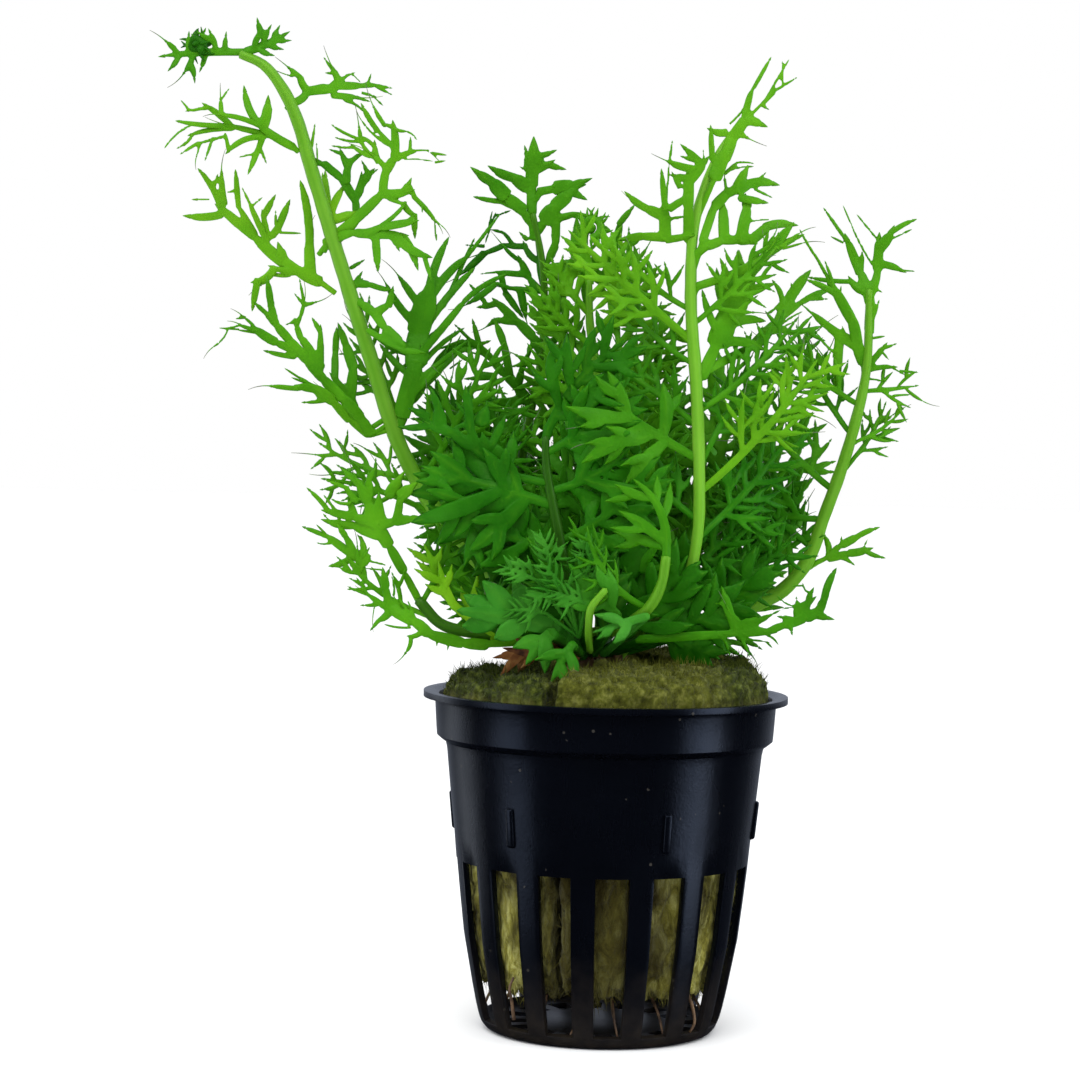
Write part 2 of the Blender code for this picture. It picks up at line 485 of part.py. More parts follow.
def build_right():
    """The frond at the right, on a long stalk that leans out and forks at its top."""
    stalk = Stalk("stalk_right", [
        (3.4, 57.8, 1.2, 1.05), (10.0, 58.2, 3, 1.1), (16.7, 59.5, 4, 1.1), (22.8, 62.6, 4.5, 1.1),
        (26.5, 64.5, 4.5, 1.1), (29.8, 68.1, 4.5, 1.05), (33.0, 76.0, 4, 0.95), (36.9, 87.6, 2, 0.85),
        (38.9, 96.4, 1, 0.7), (39.4, 109.0, 1, 0.5)])
    leaf("leaf_right_top", None, (39.6, 109.8), 84, 13.0, -56, -0.1, [
        (0.12, 28, 9.0), (0.34, -80, 4.8), (0.56, 78, 4.2)], depth=1.0, rib=0.6, lobe=0.5)
    leaf("leaf_right_1", stalk, (39.2, 106.0), 126, 13.5, -8, -0.3, [
        (0.14, 58, 6.3), (0.4, 34, 3.4), (0.4, -26, 4.0)], rib=0.65, lobe=0.5)
    leaf("leaf_right_2", stalk, (38.6, 96.5), 138, 21.0, -22, 0.2, [
        (0.22, 14, 6.0), (0.3, -28, 8.6), (0.42, 26, 6.6), (0.6, 22, 5.6), (0.62, -30, 4.0)], rib=0.8, lobe=0.65)
    leaf("leaf_right_3", stalk, (38.7, 94.0), 6, 6.6, 0, 0.3, [
        (0.15, 44, 3.2), (0.25, -38, 4.6)], rib=0.5, lobe=0.5)
    leaf("leaf_right_4", stalk, (29.6, 67.9), 30, 11.8, -36, 0.2, [
        (0.32, 16, 7.0), (0.62, -26, 2.6)], rib=0.6, lobe=0.65)
    leaf("leaf_right_5", stalk, (34.2, 79.5), 142, 18.0, -20, 0.2, comb(4, 52, 7.4, own=1))
    leaf("leaf_right_6", stalk, (32.6, 75.2), 176, 14.4, -22, 0.16, comb(3, 50, 6.4))
    leaf("leaf_right_7", stalk, (24.6, 63.6), 118, 15.0, 14, 0.12, comb(3, 52, 6.4))


def build_low_right():
    """The low frond at the right, dark, its far end turned up."""
    leaf("leaf_low_right", None, (5.6, 58.8), 8, 28.5, 22, -0.25, [
        (0.2, 48, 5.4), (0.2, -30, 4.0), (0.42, 50, 5.6), (0.44, -42, 4.0), (0.62, 46, 4.6), (0.62, -45, 3.2),
        (0.8, 40, 7.4), (0.82, -25, 3.2)], depth=-9.5, rib=0.8, lobe=0.7)


def build_front():
    """The young frond in front of the middle, with pale soft lobes."""
    stalk = Stalk("stalk_front", [
        (-1.6, 58.2, -6.0, 0.75), (1.9, 58.6, -9, 0.8), (4.4, 60.0, -12, 0.8), (7.4, 62.6, -14.5, 0.8),
        (8.9, 65.8, -15.5, 0.75), (9.5, 69.6, -16, 0.7)])
    leaf("leaf_front_top", None, (9.6, 70.6), 92, 11.0, 42, -0.05, [
        (0.06, 36, 7.6, 25), (0.02, 64, 7.0, 10), (0.4, -32, 4.4), (0.62, -30, 3.4)], depth=-16.0, rib=0.7, lobe=0.65)
    leaf("leaf_front_1", stalk, (6.6, 62.0), 150, 13.5, -50, -0.3, [
        (0.2, 40, 4.0), (0.4, 45, 4.0), (0.62, 42, 3.4), (0.3, -40, 4.0), (0.55, -40, 3.4)], lobe=0.5)


def build_heart():
    """The dark leaf in the middle of the plant, in front of the stalks."""
    stalk = Stalk("stalk_heart", [
        (-4.6, 57.8, -4.5, 0.8), (-4.8, 64.0, -8, 0.8), (-6.0, 71.0, -10, 0.75), (-7.4, 78.0, -11, 0.7),
        (-8.3, 84.0, -11, 0.6), (-8.3, 87.4, -11, 0.5)])
    leaf("leaf_heart_1", stalk, (-7.2, 77.0), 160, 18.0, 50, -0.1, comb(3, 50, 8.4, own=2), rib=1.0, lobe=1.0)
    leaf("leaf_heart_2", stalk, (-8.3, 82.6), 152, 17.0, -42, -0.1, comb(3, 52, 8.0, own=2), rib=1.0, lobe=1.0)
    leaf("leaf_heart_3", None, (-8.0, 88.4), 62, 17.0, -25, -0.1, comb(4, 52, 8.0, own=2), depth=-11.0,
         rib=0.9, lobe=0.9)


def build_back():
    """The inner fronds and those on the far side, which spread away from the front ones."""
    leaf("leaf_inner", None, (4.4, 58.8), 92, 43.0, 6, 0.2, comb(5, 54, 14.0, own=4), depth=6.5, droop=3.0, rib=1.0,
         lobe=0.95)
    lobes = comb(4, 54, 15.0, own=3)
    leaf("leaf_back_left", None, (4.0, 57.6), 54, 40.0, 14, 0.0, lobes, droop=-2.0, rib=1.0, lobe=0.95,
         place=round_the_back(160.0))
    leaf("leaf_back_middle", None, (5.6, 57.6), 66, 42.0, -22, 0.0, lobes, depth=1.0, droop=4.0, rib=1.0, lobe=0.95,
         place=round_the_back(112.0))
    leaf("leaf_back_right", None, (8.6, 57.6), 51, 42.0, -10, 0.0, lobes, depth=-2.5, droop=-3.0, rib=1.0, lobe=0.95,
         place=round_the_back(66.0))
    leaf("leaf_back_low", None, (9.0, 58.6), 42, 32.0, 20, 0.0, lobes, depth=1.0, rib=1.0, lobe=0.95,
         place=round_the_back(26.0))


def main():
    clear_scene()
    parts = new_collection("water_sprite")
    cutters = new_collection("cutters", hidden=True)
    Stalk.collection = parts
    Stalk.finish = material("stalk", STALK_GREEN, 0.45)
    leaf.finish = material("leaf", LEAF_GREEN, 0.45)
    build_pot(parts, cutters)
    build_wool(parts, cutters)
    build_crown(parts)
    build_left_tall()
    build_low_left()
    build_middle()
    build_curled()
    build_centre_right()
    build_right()
    build_low_right()
    build_front()
    build_heart()
    build_back()


main()
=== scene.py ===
"""Water sprite, an aquarium fern, growing in mineral wool in a black net pot.

The sections follow the plant from the pot upwards. Sizes are in millimetres where a name doesn't say
otherwise, and are turned into metres as a mesh is finished. The front is -Y and the middle of the pot's
base is the origin.
"""

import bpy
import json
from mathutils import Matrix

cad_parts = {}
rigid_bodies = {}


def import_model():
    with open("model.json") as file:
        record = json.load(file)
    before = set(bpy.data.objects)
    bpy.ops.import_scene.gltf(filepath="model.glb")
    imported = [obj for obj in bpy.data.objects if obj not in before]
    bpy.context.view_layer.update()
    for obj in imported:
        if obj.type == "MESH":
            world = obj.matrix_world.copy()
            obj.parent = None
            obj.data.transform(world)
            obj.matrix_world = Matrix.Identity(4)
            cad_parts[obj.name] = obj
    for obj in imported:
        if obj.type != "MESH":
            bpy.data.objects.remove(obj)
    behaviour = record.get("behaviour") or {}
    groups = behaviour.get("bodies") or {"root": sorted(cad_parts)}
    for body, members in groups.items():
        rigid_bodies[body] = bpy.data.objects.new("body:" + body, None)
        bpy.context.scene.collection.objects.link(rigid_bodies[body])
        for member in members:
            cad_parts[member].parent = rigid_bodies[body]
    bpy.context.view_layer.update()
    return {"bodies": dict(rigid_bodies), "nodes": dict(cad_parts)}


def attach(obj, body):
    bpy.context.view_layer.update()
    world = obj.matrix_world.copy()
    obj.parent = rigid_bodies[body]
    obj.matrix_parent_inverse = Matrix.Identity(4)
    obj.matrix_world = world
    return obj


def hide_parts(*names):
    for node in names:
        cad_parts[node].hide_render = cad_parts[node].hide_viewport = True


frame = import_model()

import json
import math

import bmesh
import bpy
import numpy as np
from mathutils import Matrix, Vector, noise

MM = 0.001
PLANT = next(iter(frame["bodies"]))

# Net pot: one thin moulding of black polypropylene, with a flat lip, a collar, a wall that narrows
# downwards and sixteen slots that run from half its height to the floor. Six short tabs stand on the wall
# above the slots.

SECTORS = 16
SECTOR = 360.0 / SECTORS
SLOT_TURN, SLOT_HALF = 4.1, 6.55  # the first slot's turn, and half a slot's width, in degrees
POT_COLUMNS = 7  # columns of faces in each sector, with their edges at these turns
COLUMN_TURNS = [-SLOT_HALF, -2.2, 2.2, SLOT_HALF, 8.6, 11.25, 13.9]
SLOT_LOW, SLOT_HIGH = 1.7, 25.3
FLOOR_SLOT = (10.5, 14.8)
WALL, POT_EDGE = 0.9, 0.16
# Outer surface from the middle of the floor outwards and up to the lip, as (radius, height)
POT_RINGS = [
    (14.8, 0.0), (16.0, 0.0), (16.9, 0.35), (17.45, 1.0), (17.75, SLOT_LOW), (18.0, 2.3), (18.4, 3.8),
    (19.0, 6.6), (20.4, 14.0), (21.1, 20.0), (21.6, 24.6), (21.66, SLOT_HIGH), (22.0, 29.0), (22.7, 35.0),
    (23.35, 41.4), (23.6, 42.5), (24.3, 43.0), (24.9, 43.5), (25.0, 44.6), (25.25, 48.3), (25.45, 48.9),
    (25.9, 49.1), (27.0, 49.1)]


def alone(thing):
    """Selects one object, and nothing else, and makes it the active one."""
    bpy.ops.object.select_all(action="DESELECT")
    thing.select_set(True)
    bpy.context.view_layer.objects.active = thing


def finish_with(thing, kind, **settings):
    """Adds a modifier to an object with these settings and applies it."""
    alone(thing)
    step = thing.modifiers.new(kind.lower(), kind)
    for key, value in settings.items():
        setattr(step, key, value)
    bpy.ops.object.modifier_apply(modifier=step.name)


def joined(pieces, name):
    """Joins finished pieces into one object of this name."""
    alone(pieces[0])
    for piece in pieces:
        piece.select_set(True)
    bpy.ops.object.join()
    pieces[0].name = pieces[0].data.name = name
    return pieces[0]


def copy_of(thing):
    """A copy of an object, with a mesh of its own."""
    made = thing.copy()
    made.data = thing.data.copy()
    bpy.context.scene.collection.objects.link(made)
    return made


def vertex_places(mesh):
    places = np.empty(len(mesh.vertices) * 3)
    mesh.vertices.foreach_get("co", places)
    return places.reshape(-1, 3)


def set_vertex_places(mesh, places):
    mesh.vertices.foreach_set("co", np.ascontiguousarray(places, dtype=np.float32).ravel())
    mesh.update()


for thing in bpy.context.view_layer.objects:
    thing.select_set(False)
bpy.ops.mesh.primitive_circle_add(vertices=SECTORS * POT_COLUMNS, radius=FLOOR_SLOT[0] * MM, fill_type="NGON")
pot = bpy.context.object
pot.name = pot.data.name = "net_pot_shell"
bpy.ops.object.mode_set(mode="EDIT")
bpy.ops.mesh.select_mode(type="EDGE")
bpy.ops.mesh.select_all(action="SELECT")
at_radius, at_height = FLOOR_SLOT[0], 0.0
for ring, (radius, height) in enumerate(POT_RINGS):
    if ring:
        bpy.ops.mesh.extrude_region_move(TRANSFORM_OT_translate={"value": (0, 0, (height - at_height) * MM)})
    else:
        bpy.ops.mesh.extrude_edges_move(TRANSFORM_OT_translate={"value": (0, 0, 0)})
    grow_by = radius / at_radius
    bpy.ops.transform.resize(value=(grow_by, grow_by, 1), center_override=(0, 0, 0))
    at_radius, at_height = radius, height
bpy.ops.object.mode_set(mode="OBJECT")

# The columns are moved so that their edges fall on the sides of the slots, and the slots are taken out
bm = bmesh.new()
bm.from_mesh(pot.data)
for corner in bm.verts:
    column = round(math.degrees(math.atan2(corner.co.x, -corner.co.y)) / (360.0 / (SECTORS * POT_COLUMNS)))
    column %= SECTORS * POT_COLUMNS
    turn = math.radians(SLOT_TURN + SECTOR * (column // POT_COLUMNS) + COLUMN_TURNS[column % POT_COLUMNS])
    reach = math.hypot(corner.co.x, corner.co.y)
    corner.co.x, corner.co.y = reach * math.sin(turn), -reach * math.cos(turn)
open_faces = []
for face in bm.faces:
    if len(face.verts) > 4:
        continue
    middle = face.calc_center_median()
    turn = (math.degrees(math.atan2(middle.x, -middle.y)) - SLOT_TURN + SECTOR / 2) % SECTOR - SECTOR / 2
    reach, height = math.hypot(middle.x, middle.y) / MM, middle.z / MM
    in_wall = SLOT_LOW < height < SLOT_HIGH
    in_floor = height < 0.01 and FLOOR_SLOT[0] < reach < FLOOR_SLOT[1]
    if abs(turn) < SLOT_HALF and (in_wall or in_floor):
        open_faces.append(face)
bmesh.ops.delete(bm, geom=open_faces, context="FACES")
bmesh.ops.recalc_face_normals(bm, faces=bm.faces[:])
if sum(face.normal.z * face.calc_area() for face in bm.faces if face.calc_center_median().z < 0.0001) > 0:
    bmesh.ops.reverse_faces(bm, faces=bm.faces[:])
bm.to_mesh(pot.data)
bm.free()
finish_with(pot, "SOLIDIFY", thickness=WALL * MM, offset=-1.0, use_even_offset=True)
finish_with(pot, "BEVEL", width=POT_EDGE * MM, segments=2, limit_method="ANGLE", angle_limit=math.radians(50))

TAB_TURNS = [24.0 + 60.0 * place for place in range(6)]
TAB_SIZE, TAB_OUT, TAB_HIGH = (1.5, 1.5, 6.4), 21.85, 31.8
TAB_SLOPE, TAB_NARROWING, TAB_CUT, TAB_EDGE = 0.55, 0.7, 0.5, 0.25
bpy.ops.mesh.primitive_cube_add(size=1, location=(0, 0, 0))
tab = bpy.context.object
places = vertex_places(tab.data)
places *= TAB_SIZE
high, outer = places[:, 2] > 0, places[:, 1] < 0
places[:, 1] -= TAB_OUT
places[:, 2] += TAB_HIGH
places[high, 1] -= TAB_SLOPE
places[outer, 0] *= TAB_NARROWING
places[outer, 2] += np.where(high[outer], -TAB_CUT, TAB_CUT)
set_vertex_places(tab.data, places * MM)
finish_with(tab, "BEVEL", width=TAB_EDGE * MM, segments=3)
tabs = [tab] + [copy_of(tab) for _ in TAB_TURNS[1:]]
for tab, turn in zip(tabs, TAB_TURNS):
    alone(tab)
    tab.rotation_euler.z = math.radians(turn)
    bpy.ops.object.transform_apply(location=True, rotation=True, scale=True)
pot = joined([pot] + tabs, "net_pot_shell")
bpy.ops.object.shade_smooth_by_angle(angle=math.radians(35))


def new_group(name, inputs, outputs):
    """A shader node group with inputs given as (name, kind, value) and outputs as (name, kind)."""
    group = bpy.data.node_groups.new(name, "ShaderNodeTree")
    for socket, kind, value in inputs:
        made = group.interface.new_socket(socket, in_out="INPUT", socket_type="NodeSocket" + kind)
        if value is not None:
            made.default_value = value
    for socket, kind in outputs:
        group.interface.new_socket(socket, in_out="OUTPUT", socket_type="NodeSocket" + kind)
    return group, group.nodes.new("NodeGroupInput"), group.nodes.new("NodeGroupOutput")


class Wiring:
    """Short ways to add and join the nodes of one material or group."""

    def __init__(self, tree):
        self.nodes, self.link = tree.nodes, tree.links.new

    def node(self, kind, **settings):
        made = self.nodes.new("ShaderNode" + kind)
        for key, value in settings.items():
            setattr(made, key, value)
        return made

    def feed(self, value, socket):
        if isinstance(value, bpy.types.NodeSocket):
            self.link(value, socket)
        elif value is not None:
            socket.default_value = value

    def noise(self, where, scale, detail=3.0, roughness=0.55, distortion=0.0):
        made = self.node("TexNoise")
        self.feed(where, made.inputs["Vector"])
        for name, value in (("Scale", scale), ("Detail", detail), ("Roughness", roughness),
                            ("Distortion", distortion)):
            self.feed(value, made.inputs[name])
        return made.outputs["Fac"]

    def stretched(self, where, stretch):
        made = self.node("Mapping")
        self.feed(where, made.inputs["Vector"])
        made.inputs["Scale"].default_value = stretch
        return made.outputs["Vector"]

    def ramp(self, value, *stops):
        """Stops are (place, colour) or (place, number)."""
        made = self.node("ValToRGB")
        band = made.color_ramp
        while len(band.elements) < len(stops):
            band.elements.new(0.5)
        for element, (place, shade) in zip(band.elements, stops):
            element.position = place
            element.color = (*shade, 1) if isinstance(shade, tuple) else (shade, shade, shade, 1)
        self.feed(value, made.inputs["Fac"])
        return made.outputs["Color"]

    def mix(self, share, one, two, blend="MIX"):
        made = self.node("Mix", data_type="RGBA", blend_type=blend)
        self.feed(share, made.inputs["Factor"])
        self.feed((*one, 1) if isinstance(one, tuple) else one, made.inputs[6])
        self.feed((*two, 1) if isinstance(two, tuple) else two, made.inputs[7])
        return made.outputs[2]

    def math(self, operation, one, two=None):
        made = self.node("Math", operation=operation)
        self.feed(one, made.inputs[0])
        self.feed(two, made.inputs[1])
        return made.outputs[0]

    def object_place(self):
        return self.node("TexCoord").outputs["Object"]


def new_material(name, **sockets):
    """A material, its Principled shader with these values set, and its wiring."""
    made = bpy.data.materials.new(name)
    made.use_nodes = True
    shader = made.node_tree.nodes["Principled BSDF"]
    for socket, value in sockets.items():
        shader.inputs[socket.replace("_", " ")].default_value = value
    return made, shader, Wiring(made.node_tree)


def add_bump(wiring, shader, height, distance):
    bump = wiring.node("Bump")
    bump.inputs["Distance"].default_value = distance
    wiring.feed(height, bump.inputs["Height"])
    wiring.feed(bump.outputs["Normal"], shader.inputs["Normal"])


# Specks of dirt: used on the pot and on the rootstock
specks, specks_in, specks_out = new_group(
    "specks", [("Place", "Vector", None), ("Scale", "Float", 900.0), ("Amount", "Float", 0.3)],
    [("Mask", "Float")])
w = Wiring(specks)
cells = w.node("TexVoronoi", feature="F1")
w.feed(specks_in.outputs["Place"], cells.inputs["Vector"])
w.feed(specks_in.outputs["Scale"], cells.inputs["Scale"])
small = w.math("LESS_THAN", cells.outputs["Distance"], 0.16)
patches = w.math("LESS_THAN", w.noise(specks_in.outputs["Place"], 160.0), specks_in.outputs["Amount"])
w.feed(w.math("MULTIPLY", small, patches), specks_out.inputs["Mask"])


def add_specks(wiring, where, scale, amount):
    made = wiring.node("Group", node_tree=specks)
    wiring.feed(where, made.inputs["Place"])
    made.inputs["Scale"].default_value = scale
    made.inputs["Amount"].default_value = amount
    return made.outputs["Mask"]


black_plastic, shader, w = new_material(
    "black plastic", Specular_IOR_Level=0.3, Specular_Tint=(0.55, 0.68, 1.0, 1.0))
where = w.object_place()
height = w.node("SeparateXYZ")
w.feed(where, height.inputs[0])
uneven = w.math("MULTIPLY", w.noise(where, 130.0), 0.3)
low = w.ramp(w.math("ADD", w.math("MULTIPLY", height.outputs["Z"], 20.0), uneven), (0.12, 1.0), (0.42, 0.0))
cloudy = w.ramp(w.noise(where, 45.0, detail=5.0), (0.3, (0.0006, 0.0008, 0.0016)),
                (0.75, (0.0014, 0.0018, 0.0034)))
dust = w.mix(w.math("MULTIPLY", low, w.noise(where, 420.0, detail=4.0)), cloudy, (0.03, 0.022, 0.012))
spots = add_specks(w, where, 700.0, 0.40)
w.feed(w.mix(w.math("MULTIPLY", spots, 0.6), dust, (0.05, 0.045, 0.035)), shader.inputs["Base Color"])
scratch = w.noise(w.stretched(where, (900.0, 900.0, 60.0)), 1.0, detail=2.0)
smears = w.math("ADD", w.math("MULTIPLY", w.noise(where, 70.0, detail=4.0), 0.16),
                w.math("MULTIPLY", scratch, 0.07))
w.feed(w.math("ADD", w.math("ADD", smears, 0.16), w.math("MULTIPLY", low, 0.18)), shader.inputs["Roughness"])
grain = w.math("ADD", w.noise(where, 2600.0, detail=2.0), w.math("MULTIPLY", w.noise(where, 180.0), 2.0))
add_bump(w, shader, grain, 0.00002)
pot.data.materials.append(black_plastic)
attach(pot, PLANT)
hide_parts("net_pot")

# Mineral wool: a felt of spun rock fibres, wrapped round the roots in three parts, held by the pot's wall.
# Algae have stained it olive, and brown at its top. It is ragged at its lower end, above the pot's floor.

WOOL_PIECES = ("wool_left", "wool_front", "wool_back")
WOOL_VOXEL = 0.55
WOOL_TOP, WOOL_RAGGED = 49.0, 14.0  # it is tufted above the first height, and ragged below the second
# The pot's inner surface as (height, radius)
INNER_WALL = [
    (0.0, 16.6), (3.4, 17.1), (14.0, 19.2), (25.8, 20.5), (42.6, 22.2), (43.4, 23.6), (50.0, 24.2),
    (60.0, 24.4)]


def ripple(places, stretch, seed):
    """Smooth noise from -1 to 1 at each place, stretched by the lengths given, in millimetres."""
    scaled = places / np.array(stretch) + seed * 17.3
    return np.array([noise.fractal(Vector(place), 0.8, 2.0, 4) for place in scaled])


def shifted_along_normals(mesh, places, shift):
    normals = np.empty(len(mesh.vertices) * 3)
    mesh.vertices.foreach_get("normal", normals)
    return places + normals.reshape(-1, 3) * shift[:, None]


def fleece(name, seed):
    """A ragged, lumpy copy of one of the wool's CAD solids."""
    made = bpy.data.objects.new(name + "_fleece", frame["nodes"][name].data.copy())
    bpy.context.scene.collection.objects.link(made)
    made.matrix_world = frame["nodes"][name].matrix_world.copy()
    made.data.materials.clear()
    alone(made)
    bpy.ops.object.transform_apply(location=True, rotation=True, scale=True)
    bpy.ops.object.mode_set(mode="EDIT")
    bpy.ops.mesh.select_all(action="SELECT")
    bpy.ops.mesh.remove_doubles(threshold=0.02 * MM)
    bpy.ops.object.mode_set(mode="OBJECT")
    set_vertex_places(made.data, vertex_places(made.data) / MM)
    finish_with(made, "REMESH", mode="VOXEL", voxel_size=WOOL_VOXEL)
    finish_with(made, "SMOOTH", factor=0.5, iterations=4)
    places = vertex_places(made.data)
    top = places[:, 2].max()
    on_top = np.clip((places[:, 2] - WOOL_TOP) / 3.0, 0, 1)
    creases = ripple(places, (2.6, 2.6, 6.0), seed) * 0.85 + ripple(places, (1.0, 1.0, 2.2), seed + 3) * 0.42
    tufts = ripple(places, (2.6, 2.6, 2.6), seed + 5) * 1.1 + ripple(places, (0.9, 0.9, 0.9), seed + 8) * 0.5
    moved = creases * (1 - on_top) + (0.7 * tufts - 0.3) * on_top - 0.1
    places = shifted_along_normals(made.data, places, moved)
    ragged = np.clip((WOOL_RAGGED - places[:, 2]) / 7.0, 0, 1)
    places[:, 2] += ragged * (ripple(places * (1, 1, 0), (2.2, 2.2, 1.0), seed + 11) * 2.2 + 0.4)
    rounded = np.clip((places[:, 2] - (top - 2.5)) / 2.5, 0, 1)
    places[:, 2] += rounded * ripple(places * (1, 1, 0), (6.0, 6.0, 1.0), seed + 13) * 0.9
    reach = np.hypot(places[:, 0], places[:, 1])
    limit = np.interp(places[:, 2], *zip(*INNER_WALL)) - 0.1
    places[:, :2] *= np.minimum(1.0, limit / np.maximum(reach, 0.01))[:, None]
    places[:, 2] = np.maximum(places[:, 2], 2.2)
    set_vertex_places(made.data, places * MM)
    bpy.ops.object.shade_smooth()
    return made


# Fibre, a stain that varies with height, painted shade towards the middle of the pot and a fine nap: used
# on the fleece and on the loose fibres
felt, felt_in, felt_out = new_group(
    "felt", [("Place", "Vector", None)], [("Color", "Color"), ("Height", "Float")])
w = Wiring(felt)
where = felt_in.outputs["Place"]
height = w.node("SeparateXYZ")
w.feed(where, height.inputs[0])
run = w.noise(w.stretched(where, (430.0, 430.0, 150.0)), 1.0, detail=6.0, roughness=0.66, distortion=1.6)
blotch = w.noise(w.stretched(where, (150.0, 150.0, 90.0)), 1.0, detail=4.0, distortion=0.8)
fresh = w.ramp(run, (0.28, (0.055, 0.048, 0.005)), (0.46, (0.25, 0.235, 0.04)), (0.62, (0.46, 0.45, 0.14)),
               (0.8, (0.64, 0.62, 0.27)))
# Painted shade: the wool is darkened towards the middle of the pot, at small X, front and back alike
off_middle = w.math("MULTIPLY", w.math("MULTIPLY", height.outputs["X"], height.outputs["X"]), 2500.0)
shaded_middle = w.mix(w.ramp(off_middle, (0.06, 0.84), (0.42, 0.0)), fresh, (0.017, 0.013, 0.002))
stained_and_shaded = w.mix(w.ramp(blotch, (0.38, 0.92), (0.60, 0.0)), shaded_middle, (0.017, 0.013, 0.002))
tufty = w.noise(where, 900.0, detail=5.0)
mossy = w.ramp(tufty, (0.3, (0.006, 0.010, 0.001)), (0.52, (0.030, 0.045, 0.004)), (0.75, (0.12, 0.15, 0.02)))
pale = w.ramp(tufty, (0.3, (0.030, 0.034, 0.003)), (0.52, (0.085, 0.095, 0.010)), (0.75, (0.22, 0.23, 0.05)))
# The top of the front block is pale, and moss grows on the tops to both sides of it
beside = w.math("ADD", height.outputs["X"], w.math("MULTIPLY", w.noise(where, 120.0), 0.012))
wet = w.ramp(w.math("ADD", w.math("MULTIPLY", beside, 18.0), 0.5),
             (0.42, 1.0), (0.52, 0.0), (0.84, 0.0), (0.95, 0.9))
growth = w.ramp(height.outputs["Z"], (0.0485, 0.0), (0.0510, 1.0))
w.feed(w.mix(growth, stained_and_shaded, w.mix(wet, pale, mossy)), felt_out.inputs["Color"])
nap = w.noise(w.stretched(where, (2600.0, 2600.0, 700.0)), 1.0, detail=4.0, roughness=0.7)
w.feed(w.math("ADD", w.math("MULTIPLY", run, 2.5), nap), felt_out.inputs["Height"])


def add_felt(wiring, shader):
    made = wiring.node("Group", node_tree=felt)
    wiring.feed(wiring.object_place(), made.inputs["Place"])
    wiring.feed(made.outputs["Color"], shader.inputs["Base Color"])
    return made.outputs["Height"]


mineral_wool, shader, w = new_material(
    "mineral wool", Roughness=0.95, Specular_IOR_Level=0.05, Sheen_Weight=0.05)
add_bump(w, shader, add_felt(w, shader), 0.00035)
loose_wool, shader, w = new_material("loose wool fibre", Roughness=0.8, Specular_IOR_Level=0.08)
add_felt(w, shader)

for seed, name in enumerate(WOOL_PIECES):
    wool = fleece(name, seed + 1)
    wool.data.materials.append(mineral_wool)
    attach(wool, PLANT)
    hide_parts(name)


def mesh_object(name, places, faces, finish):
    """A new object from places in metres and faces."""
    mesh = bpy.data.meshes.new(name)
    mesh.from_pydata([tuple(place) for place in places], [], faces)
    mesh.update()
    mesh.materials.append(finish)
    made = bpy.data.objects.new(name, mesh)
    bpy.context.scene.collection.objects.link(made)
    return made


def fibres(roots, ways, lengths, thick, rng):
    """Bent three-sided hairs that stand on the roots: places in millimetres and faces."""
    places, faces = [], []
    for root, way, length in zip(roots, ways, lengths):
        way = way / np.linalg.norm(way)
        across = np.cross(way, rng.normal(size=3))
        across /= np.linalg.norm(across)
        beside = np.cross(way, across)
        sag = rng.normal(size=3) * 0.25
        first = len(places)
        for share, width in ((-0.15, 1.0), (0.5, 0.8)):
            middle = root + way * length * share + sag * length * share**2
            for turn in (0.0, 2.094, 4.189):
                places.append(middle + (across * math.cos(turn) + beside * math.sin(turn)) * thick * width)
        places.append(root + way * length + sag * length)
        for side in range(3):
            after = (side + 1) % 3
            faces.append((first + side, first + after, first + 3 + after, first + 3 + side))
            faces.append((first + 3 + side, first + 3 + after, first + 6))
        faces.append((first + 2, first + 1, first))
    return np.array(places), faces


rng = np.random.default_rng(5)
TOP_FIBRES, LOW_FIBRES, SIDE_FIBRES = 5200, 700, 1300
turns = rng.uniform(0, 2 * math.pi, TOP_FIBRES)
reaches = 24.0 * np.sqrt(rng.uniform(0.12, 1.0, TOP_FIBRES))
bpy.context.evaluated_depsgraph_get()  # the rays below need the wool up to date
roots, ways = [], []
for turn, reach in zip(turns, reaches):
    above = Vector((reach * math.cos(turn), reach * math.sin(turn), 70.0)) * MM
    for name in WOOL_PIECES:
        hit, spot, normal, _ = bpy.data.objects[name + "_fleece"].ray_cast(above, Vector((0, 0, -1)))
        if hit and spot.z > WOOL_TOP * MM:
            roots.append(np.array(spot) / MM)
            ways.append(np.array(normal) + (0, 0, 0.5) + rng.normal(size=3) * 0.35)
top_count = len(roots)
for turn in rng.uniform(0, 2 * math.pi, LOW_FIBRES):
    out = Vector((math.cos(turn), math.sin(turn), 0))
    below = out * rng.uniform(14.0, 18.0) * MM + Vector((0, 0, 1.0 * MM))
    for name in WOOL_PIECES:
        hit, spot, normal, _ = bpy.data.objects[name + "_fleece"].ray_cast(below, Vector((0, 0, 1)))
        if hit and spot.z < WOOL_RAGGED * MM:
            roots.append(np.array(spot) / MM)
            ways.append(np.array((0, 0, -1.0)) + rng.normal(size=3) * 0.4)
low_count = len(roots) - top_count
for turn, height in zip(rng.uniform(0, 2 * math.pi, SIDE_FIBRES), rng.uniform(7, 25, SIDE_FIBRES)):
    out = Vector((math.cos(turn), math.sin(turn), 0))
    for name in WOOL_PIECES:
        far = out * 30.0 * MM + Vector((0, 0, height * MM))
        hit, spot, normal, _ = bpy.data.objects[name + "_fleece"].ray_cast(far, -out)
        if hit and math.hypot(spot.x, spot.y) > 15 * MM:
            roots.append(np.array(spot) / MM)
            ways.append(np.array(normal) * 0.5 + (0, 0, rng.choice((-1.0, 1.0))) + rng.normal(size=3) * 0.3)
lengths = np.concatenate((rng.uniform(0.5, 1.5, top_count), rng.uniform(0.8, 2.4, low_count),
                          rng.uniform(0.8, 2.2, len(roots) - top_count - low_count)))
places, faces = fibres(roots, ways, lengths, 0.05, rng)
